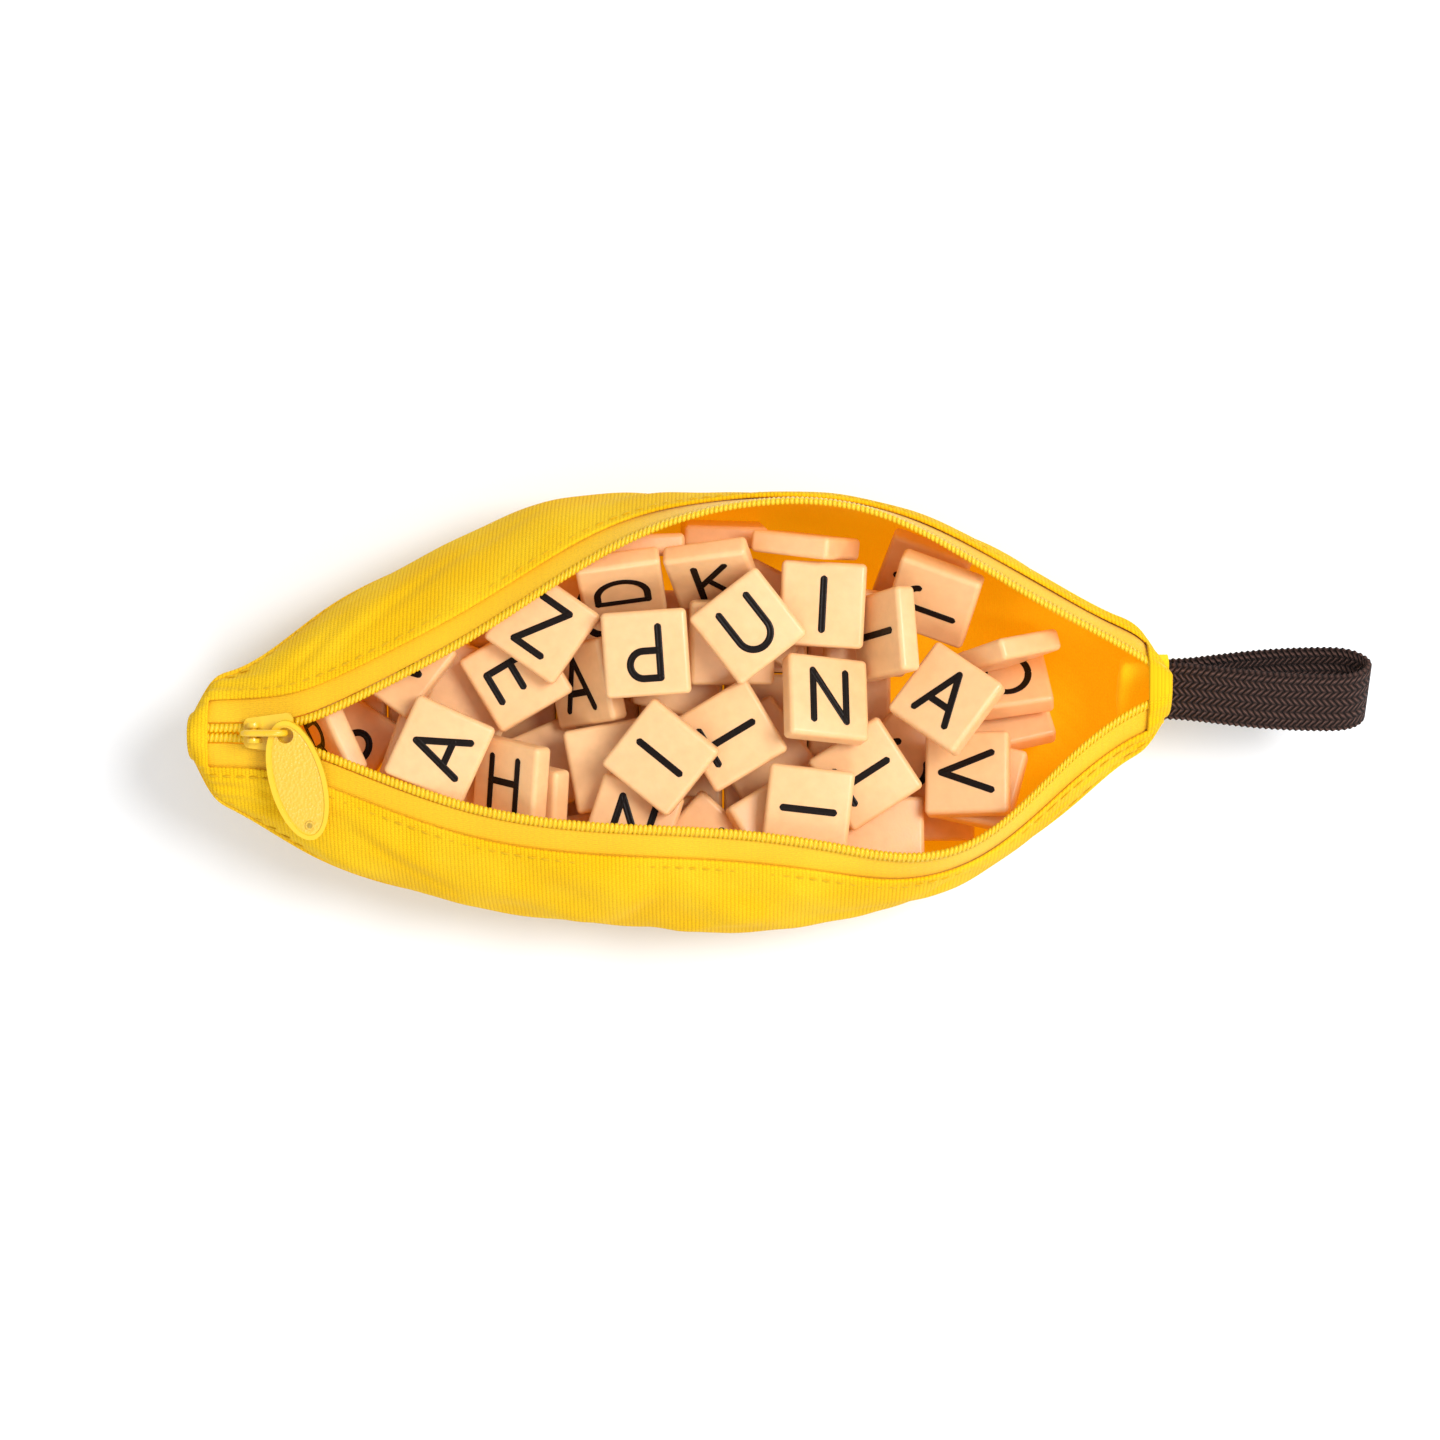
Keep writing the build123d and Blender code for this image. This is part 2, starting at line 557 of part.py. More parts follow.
def overlap_heights(offsets, turn, turns):
    """Between which heights a tile would overlap each of the tiles already placed."""
    n = len(offsets)
    own = np.broadcast_to(turn.T, (n, 3, 3))
    other = turns.transpose(0, 2, 1)
    crossed = np.cross(own[:, :, None, :], other[:, None, :, :]).reshape(n, 9, 3)
    axes = np.concatenate([own, other, crossed], axis=1)
    length = np.linalg.norm(axes, axis=2)
    axes = axes / np.maximum(length, 1e-9)[:, :, None]
    half = HALF + tile_gap / 2
    reach = np.abs(axes @ turn) @ half + np.einsum("nkj,j->nk", np.abs(axes @ turns), half)
    shift = np.einsum("nkj,nj->nk", axes, offsets)
    rise = axes[:, :, 2]
    flat = np.abs(rise) < 1e-6
    safe = np.where(flat, 1.0, rise)
    bounds = np.sort(np.stack([(-reach - shift) / safe, (reach - shift) / safe]), axis=0)
    apart = flat & (np.abs(shift) >= reach)
    low = np.where(flat, np.where(apart, np.inf, -np.inf), bounds[0])
    high = np.where(flat, np.where(apart, -np.inf, np.inf), bounds[1])
    ignored = length < 1e-6
    low, high = np.where(ignored, -np.inf, low).max(axis=1), np.where(ignored, np.inf, high).min(axis=1)
    meets = low < high
    return np.column_stack([low[meets], high[meets]])


def add(name, x, y, z, turn):
    placed_centres.append(np.array([x, y, z]))
    placed_turns.append(turn)
    placed_names.append(name)


# The tiles on view, from the top of the heap down: name, x, y, greatest z, yaw, and the way and angle they lean.
# Only parts of the ones named under_ show between the others.
VISIBLE = [
    ("tile_p", -7.4, 13.8, 46, 4, 0, 0),
    ("tile_u", 14.5, 19.4, 47, 39, 0, 0),
    ("tile_z", -30.7, 19.9, 45, -35, 0, 0),
    ("tile_i_middle", -4.1, -7.2, 45, -38, 225, 8),
    ("tile_n", 30.6, 5.2, 44, -3, 40, 28),
    ("tile_a_left", -53.5, -8.3, 43, -20, 0, 0),
    ("tile_h", -37.8, -15, 42, -8, 187, 40),
    ("tile_i_near", 28.6, -21, 43, -6.5, 0, 0),
    ("tile_t_middle", 11.9, -5, 43, 26, 0, 0),
    ("tile_i_far", 31.9, 24.8, 43, -3, 0, 0),
    ("tile_a_right", 59.5, 3.7, 43, -36, 135, 24),
    ("tile_t_right", 41.6, -13.1, 41, 33, 0, 0),
    ("tile_e", -37, 6.4, 41, 24, 0, 0),
    ("tile_a_middle", -21.8, 7.5, 40, 12.7, 193, 46),
    ("tile_m", -10.8, -24.8, 42, -20, 0, 0),
    ("tile_l", 45.2, 10.6, 40, -3, 180, 66),
    ("tile_d", -15.6, 26.3, 40, 8, -82, 55),
    ("tile_k", 7, 29.8, 40, 0, -90, 58),
    ("tile_j", 53.1, 24.7, 39, -20, -110, 40),
    ("tile_v_left", -63.2, 12, 40, -36, 0, 0),
    ("tile_r", -79.3, -5.9, 38, 24, 204, 60),
    ("tile_x", 5.7, -30.7, 41, -43, 0, 0),
    ("tile_on_corner", 71.5, 18.8, 36, -30, -75, 85),
    ("tile_v_right", 63.3, -13.1, 37, -10, 135, 24),
    ("tile_o", 74.9, 8, 33, 8, 98, 42),
    ("tile_s", -76.9, -5.7, 36, -33, 0, 0),
    ("tile_blank_near", -33.6, -20.3, 38, -7, 187, 42),
    ("tile_standing_right", 28.1, 38.3, 36, -26, 84, 84),
    ("tile_standing_left", -9, 37.7, 36, 2, 92, 82),
    ("tile_standing_middle", 11.7, 43.2, 34, -2, 88, 82),
    ("under_a", 12.4, 16.9, 40, -2, 0, 0),
    ("under_b", 0, 9.8, 38, -14, 0, 6),
    ("under_c", 21.3, -24.5, 38, 25, 200, 10),
    ("under_d", 45.1, -30.3, 33, -8, 90, 10),
    ("under_e", -15.6, -10, 39, 14, 0, 0),
    ("under_f", -30.4, -12, 38, 24, 60, 12),
    ("under_g", 18, -8.2, 37, 35, 0, 0),
    ("under_h", 75.5, 3.6, 26, 8, 98, 30),
    ("under_i", 66.8, -15.7, 30, -14, 120, 20),
    ("under_j", -47.2, 5.7, 36, -20, 0, 8),
    ("under_k", 42.6, 19.2, 38, -6, 0, 10),
    ("tile_g", 50.7, -11.8, 34, -28, 0, 5),
    ("tile_c", -20.2, 26.4, 36, 20, 0, 0),
    ("tile_y", 55.2, 31.7, 34, -20, -110, 35),
]

# The tiles on view come first, from the top of the heap down; each goes as high as its own z and the others allow
chance = np.random.default_rng(SEED)
for name, x, y, z, yaw, lean, tilt in VISIBLE:
    freedom = UNDER_FREEDOM if name.startswith("under") else SHOWN_FREEDOM
    best = (np.inf, x, y, np.inf, None)
    while best[4] is None:
        for attempt in range(NUDGES):
            share = freedom * chance.uniform(0, 1) if attempt else 0.0
            dx, dy, turned, tipped = share * chance.normal(0, 1, 4)
            tip = turn_of(0, chance.uniform(0, 360), 3.0 * abs(tipped))
            turn = tip @ turn_of(yaw + 2.0 * turned, lean, tilt)
            found = place_below(x + dx, y + dy, turn, z)
            cost = z - found + 1.2 * np.hypot(dx, dy) + 0.3 * abs(tipped) if np.isfinite(found) else np.inf
            if cost < best[0]:
                best = (cost, x + dx, y + dy, found, turn)
        freedom *= 1.5
    add(name, *best[1:])
shown = len(placed_names)

# Then the hidden heap fills the pouch from the bottom: first tiles that lie flat, then tiles lying at random
laid, number = True, 0
while number < heap_tiles:
    best = (laid_top if laid else heap_top, 0, 0, None)
    for _ in range(TRIES):
        x = chance.uniform(heap_slider_end, heap_strap_end)
        y = middle_y(x) + chance.uniform(-1, 1) * (far_belly_y(x) - near_belly_y(x)) / 2
        if laid:
            x, y = np.round(np.array([x, y]) / lay_pitch) * lay_pitch
            turn = turn_of(chance.normal(0, 0.4))
        else:
            turn = turn_of(chance.normal(0, HEAP_TURN), chance.uniform(0, 360), abs(chance.normal(0, HEAP_TILT)))
        z = place_lowest(x, y, turn)
        if z < best[0]:
            best = (z, x, y, turn)
    if best[3] is not None:
        add(f"heap_{number}", best[1], best[2], best[0], best[3])
        number += 1
    elif laid:
        laid = False
    else:
        break

# Last, the tiles on view sink until each touches something, the lowest first
for number in sorted(range(shown), key=lambda i: placed_centres[i][2]):
    centre, turn = placed_centres[number], placed_turns[number]
    placed_centres[number] = np.full(3, np.inf)
    z = drop(centre[0], centre[1], turn, centre[2])
    placed_centres[number] = np.array([centre[0], centre[1], z])

blank = Box(tile_side, tile_side, tile_thickness)
blank = chamfer(blank.edges(), tile_chamfer)
solids = {}
for name, centre, turn in zip(placed_names, placed_centres, placed_turns):
    x_dir, z_dir = Vector(*turn[:, 0]), Vector(*turn[:, 2])
    solids[name] = Plane(origin=Vector(*centre), x_dir=x_dir, z_dir=z_dir) * blank
    if name.startswith("tile"):
        parts[name] = solids[name]
parts["tiles_under"] = Compound([solid for name, solid in solids.items() if name.startswith("under")])
hidden = sorted((name for name in solids if name.startswith("heap")), key=lambda n: solids[n].center().Z)
for layer in range(HEAP_LAYERS):
    share = hidden[layer * len(hidden) // HEAP_LAYERS:(layer + 1) * len(hidden) // HEAP_LAYERS]
    parts[f"tiles_hidden_{layer + 1}"] = Compound([solids[name] for name in share])
print(len(solids), "tiles")

os.makedirs("parts", exist_ok=True)
for name, part in parts.items():
    export_step(part, f"parts/{name}.step")
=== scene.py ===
import math
import bpy
import numpy as np
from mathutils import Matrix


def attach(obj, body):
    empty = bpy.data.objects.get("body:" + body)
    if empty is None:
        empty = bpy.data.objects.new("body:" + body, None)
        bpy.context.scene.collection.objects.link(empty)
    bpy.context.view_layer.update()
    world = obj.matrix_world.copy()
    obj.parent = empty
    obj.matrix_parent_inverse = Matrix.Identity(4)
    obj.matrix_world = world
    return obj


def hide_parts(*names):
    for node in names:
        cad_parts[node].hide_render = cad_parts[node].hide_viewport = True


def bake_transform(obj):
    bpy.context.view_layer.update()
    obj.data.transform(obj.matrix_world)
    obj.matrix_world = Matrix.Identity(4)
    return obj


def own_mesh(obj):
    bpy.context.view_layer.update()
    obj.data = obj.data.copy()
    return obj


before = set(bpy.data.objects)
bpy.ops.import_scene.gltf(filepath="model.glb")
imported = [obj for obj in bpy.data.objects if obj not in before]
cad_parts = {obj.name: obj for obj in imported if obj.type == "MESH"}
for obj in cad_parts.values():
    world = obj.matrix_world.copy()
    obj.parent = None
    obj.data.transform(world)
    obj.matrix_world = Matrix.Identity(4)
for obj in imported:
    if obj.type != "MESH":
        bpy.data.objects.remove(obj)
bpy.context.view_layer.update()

# ---------------------------------------------------------------- canvas sides and base
# The pouch is a long crescent of ribbed cotton canvas, sewn from a far side, a near side and a base that
# turns up into a closed wall at each end. The canvas is about 1 mm thick and folds over the zip tape.
MM, HALF_LENGTH, STATIONS = 0.001, 109.0, 260
CANVAS, TAPE, LINING, PLY_GAP = 1.0, 0.4, 0.3, 0.2
COIL_WIDTH, TAPE_SHOWING, TAPE_HIDDEN, SEAM_WIDTH = 2.2, 5.5, 5.0, 1.8
TAPE_START = COIL_WIDTH + 0.2
FOLD = TAPE_START + TAPE_SHOWING
LIP_FAR = [(-1, -0.057), (-0.89, -0.057), (-0.79, -0.034), (-0.71, 0.03), (-0.6, 0.15), (-0.41, 0.385),
           (-0.09, 0.835), (0.17, 0.998), (0.42, 0.935), (0.72, 0.56), (0.9, 0.34), (1, 0.2)]
LIP_NEAR = [(-1, 0.156), (-0.89, 0.156), (-0.79, 0.204), (-0.71, 0.295), (-0.6, 0.44), (-0.4, 0.66), (-0.16, 0.775),
            (0.1, 0.82), (0.32, 0.92), (0.49, 0.99), (0.63, 0.83), (0.8, 0.3), (0.93, -0.02), (1, -0.13)]
WIDEST_FAR = [(-1, 0.02), (-0.965, 0.15), (-0.93, 0.19), (-0.74, 0.47), (-0.54, 0.71), (-0.3, 0.95),
              (-0.05, 1.0), (0.2, 1.0), (0.46, 0.93), (0.72, 0.67), (0.9, 0.44), (0.96, 0.35), (1, 0.21)]
WIDEST_NEAR = [(-1, 0.21), (-0.965, 0.36), (-0.93, 0.42), (-0.78, 0.62), (-0.58, 0.8), (-0.3, 0.93), (0, 1.0),
               (0.24, 0.985), (0.46, 0.88), (0.66, 0.67), (0.84, 0.36), (0.93, 0.19), (0.97, 0.12), (1, 0.01)]
LIP_HEIGHT = [(-1, 0.85), (-0.78, 0.86), (-0.5, 0.94), (0, 1.0), (0.5, 0.98), (0.85, 0.9), (1, 0.84)]
WIDEST_HEIGHT = [(-1, 1.42), (-0.7, 1.15), (0, 1.0), (0.6, 1.1), (1, 1.42)]
KEEL = [(-1, 1.0), (-0.8, 0.44), (-0.6, 0.12), (-0.42, 0.0), (0.42, 0.0), (0.6, 0.12), (0.8, 0.44), (1, 1.0)]
LIP_ROLL = [(-1, 1.0), (-0.78, 0.97), (-0.5, 0.8), (0.6, 0.7), (1, 0.8)]
SEAM_DROP = [(-1, -3.0), (-0.85, -2.0), (-0.5, 7.0), (0, 13.0), (0.5, 10.0), (0.85, 0.0), (1, -2.0)]
FOOT = [(-1, 0.1), (-0.7, 0.55), (0, 1.0), (0.6, 0.75), (1, 0.2)]
FOOT_FULLNESS, SECTION_POINTS, PRESSED = 0.62, 48, 0.35
# The canvas's second colour is painted shade, laid in the grooves of the weave.
YELLOW, YELLOW_GROOVE_SHADE, YELLOW_PALE = (0.86, 0.51, 0.004), (0.70, 0.31, 0.001), (0.91, 0.62, 0.022)


def cubic(places, values):
    """Natural cubic spline through the values at the places. On each step the curve is the two end values in
    proportion, less a cubic share of the two end curvatures, which one set of linear equations gives."""
    places, values = np.array(places, float), np.array(values, float)
    step, count = np.diff(places), len(places)
    matrix, right = np.eye(count), np.zeros(count)
    for i in range(1, count - 1):
        matrix[i, i - 1:i + 2] = step[i - 1], 2 * (step[i - 1] + step[i]), step[i]
        right[i] = 6 * ((values[i + 1] - values[i]) / step[i] - (values[i] - values[i - 1]) / step[i - 1])
    bend = np.linalg.solve(matrix, right)

    def at(t):
        t = np.clip(np.asarray(t, float), places[0], places[-1])
        i = np.clip(np.searchsorted(places, t) - 1, 0, count - 2)
        after, before = places[i + 1] - t, t - places[i]
        return ((bend[i] * after**3 + bend[i + 1] * before**3) / (6 * step[i])
                + (values[i] / step[i] - bend[i] * step[i] / 6) * after
                + (values[i + 1] / step[i] - bend[i + 1] * step[i] / 6) * before)
    return at


def outline(points, size):
    """A line of the pouch as a function of x in millimetres: the spline through the shares, times size."""
    shape = cubic(*zip(*points))
    return lambda x: size * shape(np.asarray(x) / HALF_LENGTH)


lip_far, lip_near = outline(LIP_FAR, 48.4), outline(LIP_NEAR, -32.4)
widest_far, widest_near = outline(WIDEST_FAR, 50.6), outline(WIDEST_NEAR, -49.2)
lip_z, widest_z, keel_rise = outline(LIP_HEIGHT, 50.0), outline(WIDEST_HEIGHT, 23.0), outline(KEEL, 19.35)
lip_roll, seam_drop, foot_half = outline(LIP_ROLL, 1.0), outline(SEAM_DROP, 1.0), outline(FOOT, 24.0)


def bezier(corners, t):
    """Bezier curves of all stations at once: the corner points, blended pair by pair in the share t."""
    corners = [np.repeat(c[:, None, :], len(t), axis=1) for c in corners]
    while len(corners) > 1:
        corners = [(1 - t)[None, :, None] * p + t[None, :, None] * q for p, q in zip(corners, corners[1:])]
    return corners[0]


def half_sections(x, side):
    """From the lip to mid base at each station: a curve to the widest point, a curve to the foot, and a flat."""
    lip = np.column_stack([(lip_far if side > 0 else lip_near)(x), lip_z(x)])
    wide = np.column_stack([(widest_far if side > 0 else widest_near)(x), widest_z(x)])
    keel = np.maximum(keel_rise(x), 0) - PRESSED
    middle = (widest_far(x) + widest_near(x)) / 2
    foot = np.column_stack([middle + side * foot_half(x), keel])
    shoulder = np.column_stack([wide[:, 0], wide[:, 1] + lip_roll(x) * (lip[:, 1] - wide[:, 1])])
    edge = lip + (lip - shoulder) / np.linalg.norm(lip - shoulder, axis=1)[:, None] * COIL_WIDTH / 2
    t = np.linspace(0, 1, SECTION_POINTS)
    drop, out = wide[:, 1] - keel, wide[:, 0] - foot[:, 0]
    lower = bezier([wide, np.column_stack([wide[:, 0], wide[:, 1] - FOOT_FULLNESS * drop]),
                    np.column_stack([foot[:, 0] + FOOT_FULLNESS * out, keel]), foot], t)
    base = bezier([foot, np.column_stack([middle, keel])], np.linspace(0, 1, 8))
    return np.concatenate([bezier([edge, shoulder, wide], t), lower[:, 1:], base[:, 1:]], axis=1)


def whole_sections(x):
    """The outer face from the far lip under the base to the near lip, at each station."""
    return np.concatenate([half_sections(x, 1), half_sections(x, -1)[:, ::-1][:, 1:]], axis=1)


def run_lengths(points):
    """Distance along each station's chain of points from its first point."""
    steps = np.linalg.norm(np.diff(points, axis=1), axis=2)
    return np.concatenate([np.zeros((len(points), 1)), np.cumsum(steps, axis=1)], axis=1)


def seam_run(x, side):
    """How far below the lip a side seam runs: the way to the widest point plus the seam's own drop."""
    return run_lengths(half_sections(x, side))[:, SECTION_POINTS - 1] + seam_drop(x)


def on_cloth(x, run, depth):
    """Points of the cloth: the station x, the distance run from the far lip (where it is negative, back from the
    near lip), and the depth below the outer face, measured square to it."""
    section = whole_sections(x)
    lengths = run_lengths(section)
    step = np.gradient(section, axis=1)
    step /= np.linalg.norm(step, axis=2)[:, :, None]
    inward = np.stack([step[:, :, 1], -step[:, :, 0]], axis=2)
    run = np.where(run < 0, run + lengths[:, -1:], run)
    place = np.array([[np.interp(r, s, p[:, k]) for k in (0, 1)] for r, s, p in zip(run, lengths, section)])
    square = np.array([[np.interp(r, s, p[:, k]) for k in (0, 1)] for r, s, p in zip(run, lengths, inward)])
    place = place + square * np.broadcast_to(depth, run.shape)[:, None, :]
    place[:, 1] = np.maximum(place[:, 1], 0.0)
    return np.stack([np.broadcast_to(x[:, None], run.shape), place[:, 0], place[:, 1]], axis=2)


def ripples(x, run, seed, size, length=26.0):
    """Soft unevenness of worked cloth: the sum of eight slow waves in seeded directions, scaled to about size."""
    waves = np.random.default_rng(seed)
    total = np.zeros(np.broadcast(x, run).shape)
    for _ in range(8):
        angle, pitch = waves.uniform(0, math.pi), length * waves.uniform(0.5, 1.6)
        total += np.sin(2 * math.pi * (x * math.cos(angle) + run * math.sin(angle)) / pitch + waves.uniform(0, 7))
    return size * total / 4


def creases(x, run, folds):
    """Soft hollows of folded cloth, each a bell across its own line and a longer bell along it. A fold is its place
    (x, run), its angle in degrees, its half length, its half width and its depth."""
    total = np.zeros(np.broadcast(x, run).shape)
    for at_x, at_run, angle, length, width, hollow in folds:
        heading = math.radians(angle)
        along = (x - at_x) * math.cos(heading) + (run - at_run) * math.sin(heading)
        across = (run - at_run) * math.cos(heading) - (x - at_x) * math.sin(heading)
        total += hollow * np.exp(-(along / length) ** 2 - (across / width) ** 2)
    return total


def gathers(x, run, seed, size):
    """Pleats that run along the pouch and fade out over 15 mm from each end: a sine of the run, warped by a slower
    one, in an envelope that is nothing at the very end."""
    from_end = HALF_LENGTH - np.abs(x)
    envelope = np.exp(-from_end / 13.0) * np.clip(from_end / 3.0, 0, 1)
    return size * envelope * np.sin(run * 1.35 + 1.1 * np.sin(run * 0.37 + seed) + seed + 0.05 * x)


def around(count):
    """Angles at even steps round a full turn."""
    return np.linspace(0, 2 * math.pi, count + 1)[:-1]


def tube_faces(rows, columns, first=0):
    """The quads of a grid of points closed round its second way, and the two polygons that cap its ends."""
    index = first + np.arange(rows * columns).reshape(rows, columns)
    index = np.concatenate([index, index[:, :1]], axis=1)
    quads = np.stack([index[:-1, :-1], index[:-1, 1:], index[1:, 1:], index[1:, :-1]], axis=2).reshape(-1, 4)
    return quads.tolist() + [index[0, :-1][::-1].tolist(), index[-1, :-1].tolist()]


def volume_of(points, faces):
    """Signed volume inside the faces: a sixth of the sum of each corner triangle's box product."""
    total = 0.0
    for width in {len(f) for f in faces}:
        same = points[np.array([f for f in faces if len(f) == width])]
        for k in range(1, width - 1):
            total += np.einsum("ij,ij->", same[:, 0], np.cross(same[:, k], same[:, k + 1])) / 6
    return total


def add_piece(name, points, faces, uv=None):
    """A mesh piece from points in millimetres. Faces turn over where they enclose a negative volume. uv holds one
    pair for each point, in metres of cloth."""
    points = np.asarray(points, float).reshape(-1, 3)
    if volume_of(points, faces) < 0:
        faces = [f[::-1] for f in faces]
    mesh = bpy.data.meshes.new(name)
    mesh.from_pydata((points * MM).tolist(), [], faces)
    if uv is not None:
        corner = np.zeros(len(mesh.loops), int)
        mesh.loops.foreach_get("vertex_index", corner)
        mesh.uv_layers.new(name="UVMap").data.foreach_set("uv", np.asarray(uv, float).reshape(-1, 2)[corner].ravel())
    mesh.polygons.foreach_set("use_smooth", [True] * len(mesh.polygons))
    mesh.update()
    piece = bpy.data.objects.new(name, mesh)
    bpy.context.collection.objects.link(piece)
    return piece


def cloth_band(name, x, start, end, outside, inside, across, seed=1, ripple=0.0, folds=(), gather=0.0):
    """A band of cloth with rounded edges. Round its section go the outer face, an edge, the inner face and the
    other edge; start and end are distances from a lip, outside and inside the depths of its two faces."""
    half, middle = (inside - outside) / 2, (inside + outside) / 2
    share, turn = np.linspace(0, 1, across), np.linspace(0, math.pi, 7)[1:-1]
    start, end = (np.broadcast_to(np.asarray(v, float), x.shape)[:, None] for v in (start, end))
    face = start + half + (end - start - 2 * half) * share
    run = np.concatenate([face, end - half + half * np.sin(turn), face[:, ::-1],
                          start + half - half * np.sin(turn)], axis=1)
    depth = np.concatenate([np.full(across, outside), middle - half * np.cos(turn), np.full(across, inside),
                            middle + half * np.cos(turn)])[None, :] + np.zeros((len(x), 1))
    reach = np.clip((run - start) / (end - start), 0, 1)
    worked = (ripples(x[:, None], run, seed, ripple) + creases(x[:, None], run, folds)
              + gathers(x[:, None], run, seed, gather))
    depth = depth + worked * np.sin(math.pi * reach) ** 0.6
    points = on_cloth(x, run, depth)
    uv = np.stack([np.broadcast_to(x[:, None], run.shape), run], axis=2) * MM
    return add_piece(name, points, tube_faces(*run.shape), uv)


def add_node(tree, kind, *inputs, **settings):
    """A node with its settings, whose inputs in order are values or other nodes' outputs."""
    node = tree.nodes.new(kind)
    for key, value in settings.items():
        setattr(node, key, value)
    for socket, value in zip(node.inputs, inputs):
        if isinstance(value, bpy.types.NodeSocket):
            tree.links.new(value, socket)
        elif value is not None:
            socket.default_value = value
    return node


def maths(tree, operation, *inputs):
    return add_node(tree, "ShaderNodeMath", *inputs, operation=operation).outputs[0]


def two_tone(tree, share, low, high):
    """A colour that goes from low to high as the share goes from 0 to 1."""
    mix = add_node(tree, "ShaderNodeMix", share, data_type="RGBA")
    mix.inputs[6].default_value, mix.inputs[7].default_value = (*low, 1), (*high, 1)
    return mix.outputs[2]


def scaled(tree, colour, share):
    shade = add_node(tree, "ShaderNodeVectorMath", colour, operation="SCALE")
    tree.links.new(share, shade.inputs["Scale"])
    return shade.outputs[0]


def coordinates(tree, kind="Object"):
    return tree.nodes.new("ShaderNodeTexCoord").outputs[kind]


def new_group(name, inputs, outputs):
    """A shader group with its sockets made: inputs map a name to a kind and a start value."""
    group = bpy.data.node_groups.new(name, "ShaderNodeTree")
    for label, (kind, value) in inputs.items():
        socket = group.interface.new_socket(name=label, in_out="INPUT", socket_type="NodeSocket" + kind)
        if value is not None:
            socket.default_value = value
    for label, kind in outputs.items():
        group.interface.new_socket(name=label, in_out="OUTPUT", socket_type="NodeSocket" + kind)
    return group, group.nodes.new("NodeGroupInput").outputs, group.nodes.new("NodeGroupOutput").inputs


def place_group(tree, group, **values):
    """The group placed in a material; underscores in a value's name stand for spaces."""
    node = tree.nodes.new("ShaderNodeGroup")
    node.node_tree = group
    for label, value in values.items():
        socket = node.inputs[label.replace("_", " ")]
        if isinstance(value, bpy.types.NodeSocket):
            tree.links.new(value, socket)
        else:
            socket.default_value = value
    return node.outputs


def new_material(name, rough, **constants):
    """A material with its principled shader, whose unchanging values are set on its own sockets."""
    material = bpy.data.materials.new(name)
    material.use_nodes = True
    shader = material.node_tree.nodes["Principled BSDF"]
    shader.inputs["Roughness"].default_value = rough
    for label, value in constants.items():
        shader.inputs[label.replace("_", " ")].default_value = value
    return material, material.node_tree, shader


def finish_look(tree, shader, colour, height, lift, rough=None):
    """Colour and bump joined to the shader; lift is the height of the bump in metres."""
    tree.links.new(colour, shader.inputs["Base Color"])
    bump = tree.nodes.new("ShaderNodeBump")
    bump.inputs["Distance"].default_value = lift
    tree.links.new(height, bump.inputs["Height"])
    tree.links.new(bump.outputs["Normal"], shader.inputs["Normal"])
    if rough is not None:
        tree.links.new(rough, shader.inputs["Roughness"])


# Woven cloth: cords a pitch apart along U, crossed by threads a pitch apart along V that step over every other
# cord, with a little unevenness. Height is the relief, and Worn the soft patches of colour.
weave, taken, given = new_group(
    "Woven cords", {"UV": ("Vector", None), "Cord Pitch": ("Float", 0.001), "Thread Pitch": ("Float", 0.0006),
                    "Thread Share": ("Float", 0.35), "Patch Scale": ("Float", 45.0)},
    {"Height": "Float", "Worn": "Float", "Fleck": "Float"})
wobble = add_node(weave, "ShaderNodeTexNoise", taken["UV"], None, 900.0, 2.0)
apart = add_node(weave, "ShaderNodeSeparateXYZ", taken["UV"])
along_u = maths(weave, "ADD", apart.outputs[0], maths(weave, "MULTIPLY", wobble.outputs["Fac"], 0.00022))
along_v = maths(weave, "ADD", apart.outputs[1], maths(weave, "MULTIPLY", wobble.outputs["Fac"], 0.00022))
cord_count = maths(weave, "DIVIDE", along_u, taken["Cord Pitch"])
cord_wave = maths(weave, "ABSOLUTE", maths(weave, "SINE", maths(weave, "MULTIPLY", cord_count, math.pi)))
cord_parity = maths(weave, "MULTIPLY", maths(weave, "FLOOR", cord_count), math.pi / 2)
thread_count = maths(weave, "DIVIDE", along_v, taken["Thread Pitch"])
thread_wave = maths(weave, "ABSOLUTE", maths(weave, "SINE", maths(
    weave, "ADD", maths(weave, "MULTIPLY", thread_count, math.pi), cord_parity)))
relief = add_node(weave, "ShaderNodeMix", taken["Thread Share"], None, cord_wave, thread_wave, data_type="FLOAT")
weave.links.new(relief.outputs[0], given["Height"])
patches = add_node(weave, "ShaderNodeTexNoise", taken["UV"], None, 40.0, 3.0)
weave.links.new(taken["Patch Scale"], patches.inputs["Scale"])
weave.links.new(patches.outputs["Fac"], given["Worn"])
flecks = add_node(weave, "ShaderNodeTexNoise", taken["UV"], None, 2600.0, 1.0)
weave.links.new(flecks.outputs["Fac"], given["Fleck"])


